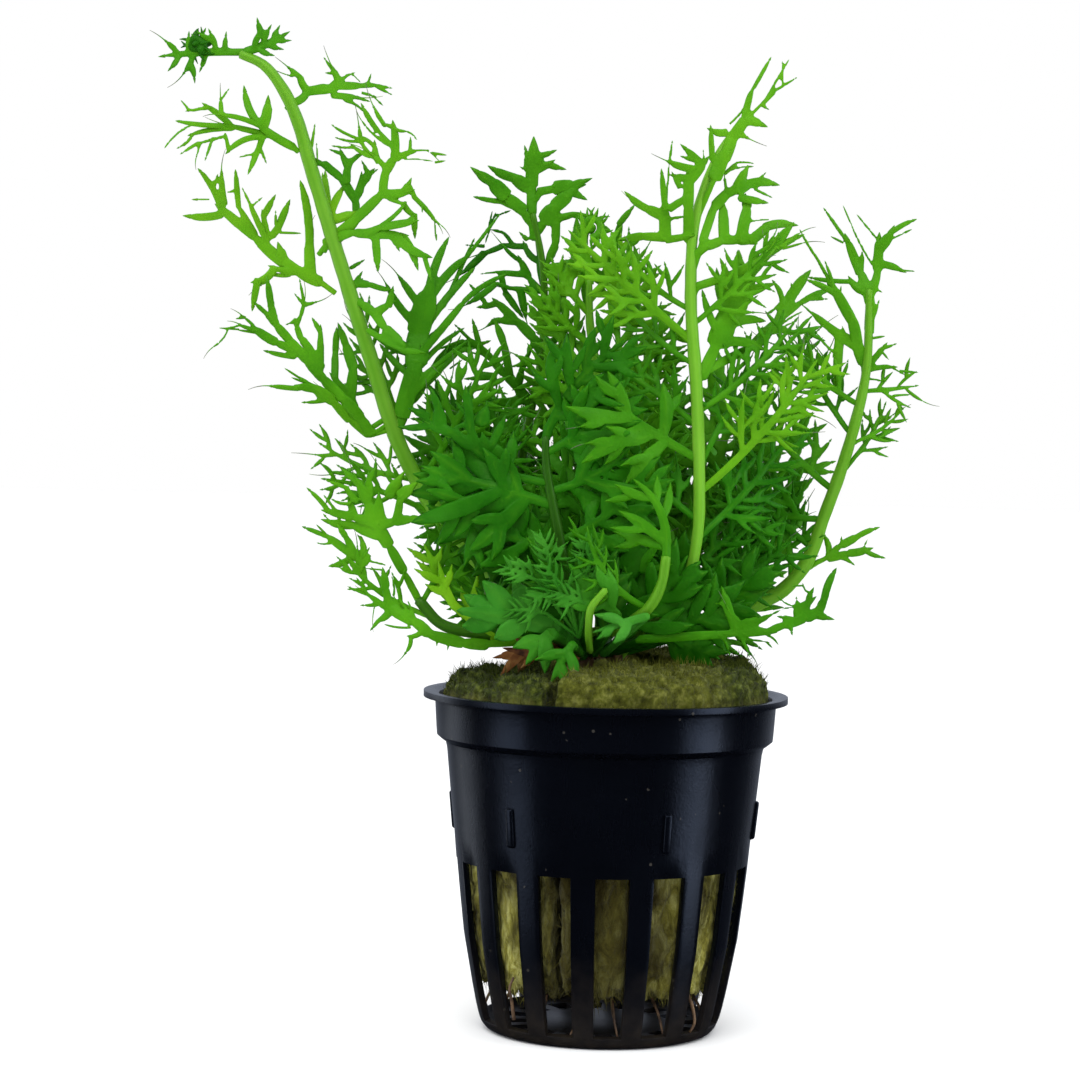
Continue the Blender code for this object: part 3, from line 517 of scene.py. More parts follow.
reach = np.hypot(places[:, 0], places[:, 1])
limit = np.interp(places[:, 2], *zip(*INNER_WALL)) + np.where(places[:, 2] < 46, 0.25, 0.0)
places[:, :2] *= np.minimum(1.0, limit / np.maximum(reach, 0.01))[:, None]
nap = mesh_object("wool_fibres", places * MM, faces, loose_wool)
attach(nap, PLANT)

# Rootstock: the short upright stem that all the stalks leave. It is covered with thin brown pointed scales,
# and stands in the hole of the wool.

CROWN = (-1.8, 0.0)
CROWN_RINGS = [(2.6, 34.0), (4.4, 40.0), (4.9, 46.0), (5.1, 52.0), (4.6, 54.6), (3.2, 56.0), (1.2, 56.8)]
bpy.ops.mesh.primitive_circle_add(vertices=24, radius=CROWN_RINGS[0][0] * MM, fill_type="NGON",
                                  location=(CROWN[0] * MM, 0, CROWN_RINGS[0][1] * MM))
rootstock = bpy.context.object
bpy.ops.object.mode_set(mode="EDIT")
bpy.ops.mesh.select_mode(type="EDGE")
bpy.ops.mesh.select_all(action="SELECT")
for ring, ((wide, high), (after_wide, after_high)) in enumerate(zip(CROWN_RINGS, CROWN_RINGS[1:])):
    if ring:
        bpy.ops.mesh.extrude_region_move(TRANSFORM_OT_translate={"value": (0, 0, (after_high - high) * MM)})
    else:
        bpy.ops.mesh.extrude_edges_move(TRANSFORM_OT_translate={"value": (0, 0, (after_high - high) * MM)})
    grow_by = after_wide / wide
    bpy.ops.transform.resize(value=(grow_by, grow_by, 1), center_override=(CROWN[0] * MM, 0, 0))
bpy.ops.mesh.edge_face_add()
bpy.ops.mesh.select_all(action="SELECT")
bpy.ops.mesh.normals_make_consistent(inside=False)
bpy.ops.object.mode_set(mode="OBJECT")
bpy.ops.object.transform_apply(location=True, rotation=True, scale=True)
finish_with(rootstock, "SUBSURF", levels=2, render_levels=2)
places = vertex_places(rootstock.data) / MM
places = shifted_along_normals(rootstock.data, places, ripple(places, (1.6, 1.6, 3.0), 31) * 0.5)
set_vertex_places(rootstock.data, places * MM)

bpy.ops.mesh.primitive_grid_add(x_subdivisions=4, y_subdivisions=6, size=1)
scale = bpy.context.object
places = vertex_places(scale.data)
along = places[:, 1] + 0.5
places[:, 0] *= 2.2 * np.sin(np.pi * np.clip(along * 0.9 + 0.1, 0, 1)) ** 0.7
places[:, 2] = 0.5 * along**2 - 1.2 * places[:, 0] ** 2 * 0.4
places[:, 1] = along * 4.2
set_vertex_places(scale.data, places)
finish_with(scale, "SOLIDIFY", thickness=0.12)
flat_scale = vertex_places(scale.data)
SCALES = 64
GOLDEN_TURN = 2.39996  # how far round each scale stands from the last, in radians
scales = []
for place in range(SCALES):
    turn = place * GOLDEN_TURN + rng.uniform(-0.2, 0.2)
    high = 40.0 + 14.6 * place / SCALES
    made = copy_of(scale)
    size = rng.uniform(0.75, 1.15)
    stand = np.interp(high, [ring[1] for ring in CROWN_RINGS], [ring[0] for ring in CROWN_RINGS]) - 0.15
    sideways, up, out = (flat_scale * size).T
    out = out * rng.uniform(0.8, 1.8) + stand
    placed = np.column_stack((CROWN[0] + out * math.cos(turn) - sideways * math.sin(turn),
                              out * math.sin(turn) + sideways * math.cos(turn), high + up))
    set_vertex_places(made.data, placed * MM)
    scales.append(made)
bpy.data.objects.remove(scale)
rootstock = joined([rootstock] + scales, "rootstock")
bpy.ops.object.shade_smooth()
brown_scale, shader, w = new_material("brown rootstock", Roughness=0.7, Specular_IOR_Level=0.35)
where = w.object_place()
grain = w.noise(w.stretched(where, (900.0, 900.0, 200.0)), 1.0, detail=5.0)
bark = w.ramp(grain, (0.3, (0.03, 0.016, 0.007)), (0.6, (0.11, 0.06, 0.022)), (0.85, (0.22, 0.14, 0.06)))
w.feed(w.mix(w.math("MULTIPLY", add_specks(w, where, 1500.0, 0.5), 0.7), bark, (0.02, 0.012, 0.006)),
       shader.inputs["Base Color"])
add_bump(w, shader, grain, 0.0003)
rootstock.data.materials.append(brown_scale)
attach(rootstock, PLANT)
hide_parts("crown")

# Roots: thin brown roots that have grown out of the wool and lie on the floor of the pot and through the
# slots.

ROOTS = [
    # turn round the pot, then (out, height) along the root, thickness
    (-41.0, [(18.6, 3.6), (19.3, 6.5), (19.9, 8.4), (19.2, 9.8)], 0.30),
    (-30.0, [(15.0, 8.0), (16.6, 4.0), (17.0, 2.0)], 0.26),
    (-58.0, [(14.0, 8.5), (16.2, 5.0), (17.4, 3.0), (17.0, 1.7)], 0.32),
    (-12.0, [(12.0, 7.5), (14.5, 3.2), (16.4, 1.9)], 0.24),
    (8.0, [(13.0, 7.0), (15.0, 3.6), (16.0, 1.8)], 0.26),
    (33.0, [(13.0, 8.0), (16.0, 4.2), (16.9, 1.9)], 0.28),
    (52.0, [(15.0, 9.0), (17.5, 5.2), (17.9, 3.0), (17.3, 1.8)], 0.34),
    (64.0, [(14.0, 8.0), (17.0, 4.0), (17.5, 2.0)], 0.3),
    (95.0, [(14.0, 8.5), (16.2, 4.4), (17.0, 2.0)], 0.26),
    (140.0, [(13.0, 8.0), (15.5, 4.0), (16.6, 1.8)], 0.28),
    (185.0, [(14.0, 8.0), (16.2, 4.0), (17.0, 1.9)], 0.3),
    (230.0, [(13.0, 8.0), (16.0, 4.2), (17.2, 1.9)], 0.26),
    (275.0, [(14.0, 8.0), (16.4, 4.6), (17.3, 2.0)], 0.3)]


def eased(points, step):
    """The given points of a route, joined by a smooth line with a point at each step."""
    points = np.array(points, float)
    travel = np.concatenate(([0.0], np.cumsum(np.linalg.norm(np.diff(points[:, :3], axis=0), axis=1))))
    runs = np.gradient(points, travel, axis=0)
    at = np.linspace(0, travel[-1], max(3, int(travel[-1] / step) + 1))
    low = np.clip(np.searchsorted(travel, at, side="right") - 1, 0, len(travel) - 2)
    span = (travel[low + 1] - travel[low])[:, None]
    share = (at - travel[low])[:, None] / span
    two, three = share**2, share**3
    return ((2 * three - 3 * two + 1) * points[low] + (three - 2 * two + share) * span * runs[low]
            + (3 * two - 2 * three) * points[low + 1] + (three - two) * span * runs[low + 1])


def tube(route, radii, sides, ridge=0.0, ridges=5, twist=0.0):
    """A closed tube along a route: places, faces, the share along it, and the turn round it at each place."""
    forward = np.gradient(route, axis=0)
    forward /= np.linalg.norm(forward, axis=1)[:, None]
    side = np.cross(forward[0], (0.0, -1.0, 0.05))
    side /= np.linalg.norm(side)
    places, shares, turns = [], [], []
    for step, (middle, ahead, radius) in enumerate(zip(route, forward, radii)):
        side = side - ahead * (side @ ahead)
        side /= np.linalg.norm(side)
        up = np.cross(ahead, side)
        turn = np.arange(sides) * 2 * math.pi / sides
        swell = 1.0 + ridge * np.cos(ridges * (turn + twist * step))
        round_it = np.cos(turn)[:, None] * side + np.sin(turn)[:, None] * up
        places.append(middle + radius * swell[:, None] * round_it)
        shares += [step / (len(route) - 1)] * sides
        turns += list(turn)
    places.append(np.array([
        route[0] - forward[0] * radii[0] * 0.3, route[-1] + forward[-1] * radii[-1] * 0.6]))
    shares += [0.0, 1.0]
    turns += [0.0, 0.0]
    faces = []
    for ring in range(len(route) - 1):
        for place in range(sides):
            after = (place + 1) % sides
            faces.append((ring * sides + place, ring * sides + after, (ring + 1) * sides + after,
                          (ring + 1) * sides + place))
    foot, tip, last = len(route) * sides, len(route) * sides + 1, (len(route) - 1) * sides
    for place in range(sides):
        after = (place + 1) % sides
        faces.append((after, place, foot))
        faces.append((last + place, last + after, tip))
    return np.concatenate(places), faces, np.array(shares), np.array(turns)


root_places, root_faces = [], []
for turn, line, thick in ROOTS:
    start, wander = math.radians(turn), rng.uniform(-3.0, 3.0)
    points = []
    for step, (out, high) in enumerate(line):
        bent = start + math.radians(wander * step)
        points.append((out * math.sin(bent), -out * math.cos(bent), high))
    route = eased(points, 0.5)
    places, faces, _, _ = tube(route, np.linspace(thick, thick * 0.55, len(route)), 7)
    first = sum(len(item) for item in root_places)
    root_places.append(places)
    root_faces += [tuple(first + corner for corner in face) for face in faces]
brown_root, shader, w = new_material("brown root", Roughness=0.6)
where = w.object_place()
w.feed(w.ramp(w.noise(where, 700.0), (0.35, (0.045, 0.022, 0.010)), (0.7, (0.16, 0.09, 0.04))),
       shader.inputs["Base Color"])
add_bump(w, shader, w.noise(where, 2500.0), 0.0001)
roots = mesh_object("roots", np.concatenate(root_places) * MM, root_faces, brown_root)
alone(roots)
bpy.ops.object.shade_smooth()
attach(roots, PLANT)

# Left tall frond: a thick, juicy stalk whose tip still curls over, with finely cut leaflets down both
# sides. This section also has what all the fronds are made with. They are laid out on an upright sheet
# through the pot's axis, and leaves in front of it or behind it are spread from the eye.

SHEET_TURN = math.radians(1.25)  # the camera leans by this much, and the sheet with it
SHEET_PIVOT, SHEET_LIFT = 23.8, 0.5
EYE_X, EYE_Z, EYE_DISTANCE = -1.3, 87.0, 436.0
LEAF_VOXEL, INNER_VOXEL = 0.21, 0.27
BLADE_HALF_THICK = 0.13
KEPT_FACES = 0.2
STROKE_GAIN = 1.14  # strokes are drawn wider than they are given, because smoothing thins them
# How wide a rib, a pointed lobe, a stroke and a blunt lobe are at these shares of their length
TAPER_AT = (0.0, 0.2, 0.45, 0.7, 0.88, 1.0)
RIB_TAPER = (0.95, 1.0, 0.95, 0.8, 0.6, 0.42)
LOBE_TAPER = np.array((0.62, 0.85, 1.0, 0.95, 0.74, 0.42))
STROKE_TAPER = (1.0, 1.05, 1.05, 1.0, 0.85, 0.55)
BLUNT_TAPER = np.array((0.5, 0.75, 1.0, 1.0, 0.9, 0.7))
LIFT_GAP = 4.0  # lobes that cross are held this many times their lift apart while the blade is made


def on_sheet(x, z, depth):
    """Places in space, in millimetres, of points of the sheet that lie at this depth behind it."""
    level = z - SHEET_PIVOT
    upright_x = x * math.cos(SHEET_TURN) - level * math.sin(SHEET_TURN)
    upright_z = SHEET_PIVOT + SHEET_LIFT + x * math.sin(SHEET_TURN) + level * math.cos(SHEET_TURN)
    spread = (EYE_DISTANCE + depth) / EYE_DISTANCE
    return np.column_stack((
        EYE_X + (upright_x - EYE_X) * spread, depth, EYE_Z + (upright_z - EYE_Z) * spread))


def round_the_back(azimuth):
    """A sheet like the front one, turned about the rootstock, for the leaves that grow away from the eye."""
    turn = math.radians(azimuth)

    def place(x, z, depth):
        along = x - CROWN[0]
        return np.column_stack((CROWN[0] + along * math.cos(turn) - depth * math.sin(turn),
                                along * math.sin(turn) + depth * math.cos(turn), z))

    return place


def along_arc(start, heading, length, bend, share):
    """Places on an arc that turns by bend over its length, and the heading there."""
    turn = math.radians(bend) * share
    if abs(bend) < 0.5:
        reach, lean = length * share, 0.0
    else:
        reach = 2.0 * length / math.radians(bend) * np.sin(turn / 2.0)
        lean = turn / 2.0
    angle = math.radians(heading) + lean
    route = np.stack((start[0] + reach * np.cos(angle), start[1] + reach * np.sin(angle)), -1)
    return route, heading + np.degrees(turn)


def comb(pairs, turn, longest, own=0):
    """Lobes in pairs along a rib, shorter and closer to it towards the tip. The lower may divide again."""
    made = []
    for place in range(2 * pairs):
        share = 0.14 + 0.66 * place / (2 * pairs - 1)
        side = 1 if place % 2 else -1
        reach = longest * (1.0 - 0.5 * share)
        made.append((share, side * (turn + 12 - 16 * share), reach, -side * (16 + 9 * (place % 3))))
        if place < own:
            made[-1] += ([(0.3, side * 34, reach * 0.5), (0.5, -side * 32, reach * 0.42)],)
    return made


def more_fingers(length, given, rng, rank, fine):
    """Pointed fingers, on one side after the other, where the lobes given leave room."""
    count = fine * (length / 1.9, (length - 2.0) / 1.9, (length - 3.4) / 2.0)[rank]
    count = max(0, min(12, int(count + rng.uniform(0.2, 0.8))))
    first, last = ((0.22, 0.92), (0.24, 0.66), (0.35, 0.55))[rank]
    least, most = ((44, 58), (40, 52), (36, 46))[rank]
    side = rng.choice((-1, 1))
    made = []
    for place in range(count):
        share = first + (last - first) * (place + rng.uniform(0.2, 0.8)) / count
        side = -side
        if min([abs(share - item[0]) for item in given if item[1] * side > 0], default=1.0) * length < 1.5:
            continue
        reach = (2.3 + 0.19 * length, 1.6 + 0.30 * length, 0.55 * length)[rank]
        reach *= (1.2 - 0.5 * share) * rng.uniform(0.85, 1.15) * (1.25 - 0.25 * fine)
        made.append((share, side * rng.uniform(least, most), min(reach, 6.0), -side * rng.uniform(8, 26)))
    return made


class Sprig:
    """One leaflet: its branches as routes on the sheet, each with half widths and a lift out of the sheet."""

    def __init__(self, seed, cup, hairs, fine, blunt):
        self.rng = np.random.default_rng(seed)
        self.cup, self.hairs, self.fine, self.blunt = cup, hairs, fine, blunt
        self.branches, self.tips = [], []

    def grow(self, start, heading, length, bend, width, lobes, lobe_width, lift=0.0, pitch=0.0, rank=0):
        steps = max(5, int(length / 0.6))
        shares = np.linspace(0, 1, steps + 1)
        route, _ = along_arc(start, heading, length, bend, shares)
        wobble = self.rng.normal(0, 0.012 * length, 2)
        route = route + np.outer(np.sin(np.pi * shares), wobble)
        taper = LOBE_TAPER + (BLUNT_TAPER - LOBE_TAPER) * self.blunt if rank else RIB_TAPER
        half = width * np.interp(shares, TAPER_AT, taper)
        curl = self.rng.normal(0.0, 0.010) if rank else 0.0
        lifts = lift + pitch * length * shares + curl * (length * shares) ** 2
        self.pointed(route, half, lifts, rank)
        given = list(lobes)
        if rank < 3:
            given += more_fingers(length, given, self.rng, rank, self.fine)
        for lobe in given:
            share, turn, reach = lobe[:3]
            # A lobe leaves the rib steeply and then leans towards the tip, which keeps it clear of the next
            sweep = next((item for item in lobe[3:] if not isinstance(item, list)), None)
            if sweep is None:
                spread = math.copysign(self.rng.uniform(14, 24), turn) if abs(turn) < 90 else 0.0
                turn, sweep = turn + 0.5 * spread, -spread
            own = next((item for item in lobe[3:] if isinstance(item, list)), [])
            foot, aim = along_arc(start, heading, length, bend, share)
            foot = foot + wobble * math.sin(math.pi * share)
            wide = lobe_width * (0.46 + 0.050 * min(reach, 9), 0.60, 0.52)[min(rank, 2)]
            tilt = pitch * 0.6 + self.cup * (1 if rank == 0 else 0.4)
            tilt += math.copysign(self.rng.uniform(0.05, 0.24), self.rng.normal())
            self.grow(foot, float(aim) + turn, reach, sweep, wide, own, lobe_width,
                      float(np.interp(share, shares, lifts)), tilt, rank + 1)

    def draw(self, x0, z0, x1, z1, wide, bow=0.0):
        """A branch from one point of the sheet to another, which bows out by this share of its length."""
        run = np.array((x1 - x0, z1 - z0))
        length = math.hypot(*run)
        shares = np.linspace(0, 1, max(4, int(length / 0.6)) + 1)
        aside = np.outer(4 * bow * shares * (1 - shares), (-run[1], run[0]))
        route = (x0, z0) + np.outer(shares, run) + aside
        lift = 0.0
        if self.branches:
            lines = np.concatenate([line for line, _, _ in self.branches])
            lifts = np.concatenate([lifts for _, _, lifts in self.branches])
            lift = lifts[np.hypot(*(lines - (x0, z0)).T).argmin()]
        tilt = math.copysign(self.rng.uniform(0.04, 0.2), self.rng.normal())
        half = wide / 2 * np.interp(shares, TAPER_AT, STROKE_TAPER)
        self.pointed(route, half, lift + tilt * length * shares, 1)

    def pointed(self, route, half, lifts, rank):
        """Keeps a branch, drawn out to a point, and here and there with a hair that runs on from it."""
        ahead = route[-1] - route[-2]
        ahead = ahead / np.linalg.norm(ahead)
        drawn = half[-1] * self.rng.uniform(2.6, 3.8) * (1 - 0.6 * self.blunt)
        route = np.concatenate((route, route[-1] + np.outer((0.35 * drawn, 0.7 * drawn, drawn), ahead)))
        half = np.concatenate((half, half[-1] * np.array((0.74, 0.42, 0.1))))
        lifts = np.concatenate((lifts, np.full(3, lifts[-1])))
        self.branches.append((route[:-1], np.maximum(half[:-1], 0.17), lifts[:-1]))
        first = min(len(half) - 4, int(np.argmax(half < 0.2)))
        line, thick = list(route[first:]), list(half[first:])
        long_hair = rank > 0 and self.rng.random() < self.hairs
        if long_hair:
            turn, reach = self.rng.uniform(-0.5, 0.5), self.rng.uniform(1.4, 3.4)
            thick[-1] = 0.09
            for step in range(1, 6):
                bent = turn * step / 5
                way = np.array((ahead[0] * math.cos(bent) - ahead[1] * math.sin(bent),
                                ahead[0] * math.sin(bent) + ahead[1] * math.cos(bent)))
                line.append(line[-1] + way * reach / 5)
                thick.append(0.09 - 0.012 * step)
        rise = np.interp(np.arange(first, first + len(line)), np.arange(len(lifts)), lifts)
        self.tips.append((np.array(line), np.maximum(thick, 0.025), rise))


def round_tubes(name, lines, resolution, *steps):
    """The places and triangles, in millimetres, of round tubes along routes given with half widths and lifts.
    Steps are the modifiers that the tubes go through."""
    curve = bpy.data.curves.new(name, "CURVE")
    curve.dimensions = "3D"
    curve.bevel_depth = 1.0
    curve.bevel_resolution = resolution
    curve.use_fill_caps = True
    for route, half, lifts in lines:
        line = curve.splines.new("POLY")
        line.points.add(len(route) - 1)
        spots = np.column_stack((route[:, 0], LIFT_GAP * lifts, route[:, 1], np.ones(len(route))))
        line.points.foreach_set("co", spots.ravel())
        line.points.foreach_set("radius", half)
    made = bpy.data.objects.new(name, curve)
    bpy.context.scene.collection.objects.link(made)
    for kind, settings in steps:
        step = made.modifiers.new(kind.lower(), kind)
        for key, value in settings.items():
            setattr(step, key, value)
    made.select_set(True)
    bpy.context.view_layer.objects.active = made
    bpy.ops.object.convert(target="MESH")
    mesh = made.data
    mesh.calc_loop_triangles()
    corners = np.empty(len(mesh.loop_triangles) * 3, np.int64)
    mesh.loop_triangles.foreach_get("vertices", corners)
    places = vertex_places(mesh)
    bpy.data.objects.remove(made)
    bpy.data.meshes.remove(mesh)
    bpy.data.curves.remove(curve)
    return places, corners.reshape(-1, 3)


class Frond:
    """The leaflets of one frond, kept as places, triangles and growth until they become one piece."""

    def __init__(self, name, tone=0.5, hairs=0.1, voxel=LEAF_VOXEL):
        self.name, self.tone, self.hairs, self.voxel = name, tone, hairs, voxel
        self.route = None
        self.places, self.corners, self.growth, self.count = [], [], [], 0

    def add(self, places, corners, growth):
        self.places.append(places)
        self.corners.append(corners + self.count)
        self.growth.append(growth)
        self.count += len(places)

    def nearest(self, x, z):
        """The stalk's point nearest to a point of the sheet: its place, depth, radius and direction."""
        best = None
        for (x0, z0, d0, r0), (x1, z1, d1, r1) in zip(self.route, self.route[1:]):
            run_x, run_z = x1 - x0, z1 - z0
            share = ((x - x0) * run_x + (z - z0) * run_z) / (run_x**2 + run_z**2)
            share = min(1.0, max(0.0, share))
            foot = (x0 + share * run_x, z0 + share * run_z)
            away = math.hypot(x - foot[0], z - foot[1])
            if best is None or away < best[0]:
                best = (away, foot, d0 + share * (d1 - d0), r0 + share * (r1 - r0), math.atan2(run_z, run_x))
        return best[1:]

    def leaf(self, foot, heading, length, bend, lean, lobes, droop=0.0, rib=0.7, lobe=0.75, place=on_sheet,
             depth=0.0, root=None, tone=None, cup=0.0, hairs=None, fine=1.0, bloom=0.0, blunt=0.0):
        """A leaflet laid out on the sheet from its foot. It stands behind the sheet as far as its stalk does,
        plus lean for each millimetre outwards, and droop more at its far end."""
        tone = self.tone if tone is None else tone
        hairs = self.hairs if hairs is None else hairs
        ahead = np.array((math.cos(math.radians(heading)), math.sin(math.radians(heading))))
        if self.route is not None and root is None and depth == 0.0:
            foot, depth, radius, run = self.nearest(*foot)
            apart = abs(math.sin(math.radians(heading) - run))
            beside = abs(math.cos(math.radians(heading) - run))
            clear = (radius + 0.3 + rib * beside) / max(apart, 0.4)
            root = np.array((*foot, depth))
            start = np.array(foot) + clear * ahead
        else:
            start = np.array(foot, float)
            root = np.array(root if root is not None else (*(start - ahead * 2.5), depth), float)
        seed = int(abs(start[0] * 131 + start[1] * 977 + heading * 13 + length * 7)) % 100003
        sprig = Sprig(seed, cup + np.random.default_rng(seed).normal(0, 0.12), hairs, fine, blunt)
        sprig.grow(start, heading, length, bend, rib * 0.85, lobes, lobe)
        self.blade(sprig, seed, start, heading + bend / 2.0, length, root, rib, depth, (lean, droop), place,
                   tone, bloom)

    def traced(self, root, lean, strokes, tone=None, rib=0.6, hairs=0.15):
        """A leaflet drawn stroke by stroke on the sheet, each as (x0, z0, x1, z1, width, bow). Places are in
        tenths of a millimetre, and widths and bows in hundredths. A stroke without its first two numbers goes
        on from where the last one ended."""
        start = np.array(strokes[0][:2]) / 10
        seed = int(abs(start[0] * 131 + start[1] * 977)) % 100003
        sprig = Sprig(seed, 0.0, hairs, 0.0, 0.2)
        end = start
        for stroke in strokes:
            foot, rest = (np.array(stroke[:2]) / 10, stroke[2:]) if len(stroke) > 4 else (end, stroke)
            end, wide = np.array(rest[:2]) / 10, rest[2] / 100
            sprig.draw(*foot, *end, (STROKE_GAIN + 0.1 * wide) * wide, *(bow / 100 for bow in rest[3:]))
        heading = math.degrees(math.atan2(end[1] - start[1], end[0] - start[0]))
        self.blade(sprig, seed, start, heading, math.hypot(*(end - start)), np.array(root, float), rib,
                   root[2], (lean, 0.0), on_sheet, self.tone if tone is None else tone, 0.0)

    def blade(self, sprig, seed, start, heading, length, root, rib, depth, slopes, place, tone, bloom):
        """Makes one flat mesh of a leaflet's branches, and the fine ends that stick out of it."""
        # The leaflet's own stalk, from inside the main stalk to the foot
        gap = np.linalg.norm(start - root[:2])
        way = np.linspace(0, 1, max(3, int(gap / 0.7) + 2))[:, None]
        pull = 1 - way
        own_stalk = root[:2] * pull + start * (1 - pull)
        sprig.branches.append((own_stalk, np.full(len(way), rib * 0.8), ((root[2] - depth) * pull).ravel()))
        blade = round_tubes(
            "blade", sprig.branches, 1, ("REMESH", {"mode": "VOXEL", "voxel_size": self.voxel}),
            ("SMOOTH", {"factor": 0.5, "iterations": 3}), ("DECIMATE", {"ratio": KEPT_FACES}))
        at = np.concatenate([np.column_stack((line, LIFT_GAP * lifts)) for line, _, lifts in sprig.branches])
        ahead = np.concatenate([np.gradient(np.column_stack((line, LIFT_GAP * lifts)), axis=0)
                                for line, _, lifts in sprig.branches])
        ahead /= (ahead**2).sum(1)[:, None]
        climb = np.concatenate([np.gradient(lifts) for _, _, lifts in sprig.branches])
        half = np.concatenate([half for _, half, _ in sprig.branches])
        lifts = np.concatenate([lift for _, _, lift in sprig.branches])
        owner = np.concatenate([np.full(len(line), place)
                                for place, (line, _, _) in enumerate(sprig.branches)])
        # Ends that lie inside another branch are left out
        tips = np.array([line[-1] for line, _, _ in sprig.tips])
        inside = np.hypot(tips[:, :1] - at[:, 0], tips[:, 1:] - at[:, 1]) < half + 0.1
        inside &= owner != np.arange(len(tips))[:, None]
        seen = [tip for tip, hid in zip(sprig.tips, inside.any(1)) if not hid]
        parts = [blade, round_tubes("ends", seen, 0)]
        middle = math.radians(heading)
        lean, droop = slopes
        for is_end, (places, corners) in enumerate(parts):
            spots = places[:, (0, 2, 1)]
            away = (at**2).sum(1) - 2.0 * (spots @ at.T)
            nearest = away.argmin(1)
            offset = spots - at[nearest]
            step = np.clip((offset * ahead[nearest]).sum(1), -0.6, 0.6)
            lift = lifts[nearest] + step * climb[nearest]
            clear = np.hypot(offset[:, 0], offset[:, 1])
            mid = 1.0 - np.clip(clear / half[nearest], 0, 1)
            places[:, 1] -= LIFT_GAP * lift
            far = np.hypot(places[:, 0] - root[0], places[:, 2] - root[1])
            thick = BLADE_HALF_THICK + 0.35 * rib * np.exp(-((far / 3.5) ** 2))
            spine = 0.06 * mid**3 * np.sign(places[:, 1])
            out = (places[:, 0] - start[0]) * math.cos(middle) + (places[:, 2] - start[1]) * math.sin(middle)
            over = (places[:, 2] - start[1]) * math.cos(middle) - (places[:, 0] - start[0]) * math.sin(middle)
            out_from_foot = np.maximum(out, 0)
            behind = depth + lean * out_from_foot + droop * (out_from_foot / length) ** 2
            wave = 0.25 * np.sin(out * 0.55 + seed) + 0.2 * np.sin(over * 0.8 + seed * 1.7)
            behind = behind + lift + wave * np.clip(far / 6.0, 0, 1)
            behind = behind + thick * np.tanh(0.6 * places[:, 1] / thick) + spine
            grey = np.clip(clear - 0.5, 0, 1) * is_end
            growth = np.column_stack((mid, grey, np.full(len(places), tone), np.full(len(places), bloom)))
            self.add(place(places[:, 0], places[:, 2], behind), corners, growth)

    def coil(self, centre, depth, radius, turns, start, thick, tone, teeth):
        """A tip that is still rolled up, with soft teeth round its outside."""
        around = np.radians(start) + np.linspace(0, turns * 2 * math.pi, int(24 * turns))
        away = np.linspace(radius, radius * 0.15, len(around))
        line = on_sheet(centre[0] + away * np.cos(around), centre[1] + away * np.sin(around),
                        depth + 0.5 * np.sin(around * 0.5))
        shapes = [tube(line, np.linspace(thick, thick * 0.5, len(line)), 8)[:2]]
        for place in range(teeth):
            at = int(place * (len(line) - 8) / teeth)
            out = line[at] - on_sheet(np.array([centre[0]]), np.array([centre[1]]), depth)[0]
            out = out / np.linalg.norm(out) + (0, 0.7 * math.sin(place * 2.4), 0)
            bent = np.cross(out, (0, 1, 0)) * 0.5 * math.sin(place * 1.9)
            reach = thick * (1.6 + 0.9 * math.sin(place * 3.1) ** 2)
            tooth = np.array([line[at] + out * reach * share + bent * reach * share**2
                              for share in (0.2, 0.6, 1.0, 1.4)])
            shapes.append(tube(tooth, thick * np.array((0.42, 0.36, 0.25, 0.08)), 5)[:2])
        for places, faces in shapes:
            corners = [(face[0], face[step], face[step + 1])
                       for face in faces for step in range(1, len(face) - 1)]
            growth = np.tile((0.4, 0.0, tone, 0.0), (len(places), 1))
            self.add(places, np.array(corners), growth)

    def piece(self, finish, *nodes):
        """All the leaflets as one object, which stands for these CAD nodes."""
        return foliage(self.name, np.concatenate(self.places), np.concatenate(self.corners),
                       np.concatenate(self.growth), finish, nodes)

    def stalk(self, name, route, finish, nodes, tone, foot=True, sides=14, ridge=0.05):
        """The frond's stalk along listed points (x, z, depth, radius), from inside the rootstock."""
        self.route = route
        x, z, depth, radius = route[0]
        if foot:
            base = (CROWN[0] + (x - CROWN[0]) * 0.4, 53.0, depth * 0.4, radius * 0.95)
            route = [base] + route
        fine = eased(route, 0.9)
        spots = on_sheet(fine[:, 0], fine[:, 1], fine[:, 2])
        swell = 1.0 + 0.05 * np.sin(np.arange(len(fine)) * 0.9) * np.sin(np.arange(len(fine)) * 0.37 + x)
        places, faces, shares, turns = tube(spots, fine[:, 3] * swell, sides, ridge, 5, 0.01)
        growth = np.column_stack((0.5 + 0.5 * np.cos(turns * 5), shares, np.full(len(places), tone),
                                  np.zeros(len(places))))
        return foliage(name, places, faces, growth, finish, nodes)


def foliage(name, places, faces, growth, finish, nodes):
    """One piece of the plant from places in millimetres, with its growth kept as a colour attribute."""
    mesh = bpy.data.meshes.new(name)
    mesh.from_pydata(places * MM, [], faces.tolist() if isinstance(faces, np.ndarray) else faces)
    kept = mesh.color_attributes.new("growth", "FLOAT_COLOR", "POINT")
    kept.data.foreach_set("color", np.ascontiguousarray(growth, dtype=np.float32).ravel())
    mesh.polygons.foreach_set("use_smooth", [True] * len(mesh.polygons))
    mesh.materials.append(finish)
    mesh.update()
    made = bpy.data.objects.new(name, mesh)
    bpy.context.scene.collection.objects.link(made)
    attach(made, PLANT)
    if nodes:
        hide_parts(*nodes)
    return made


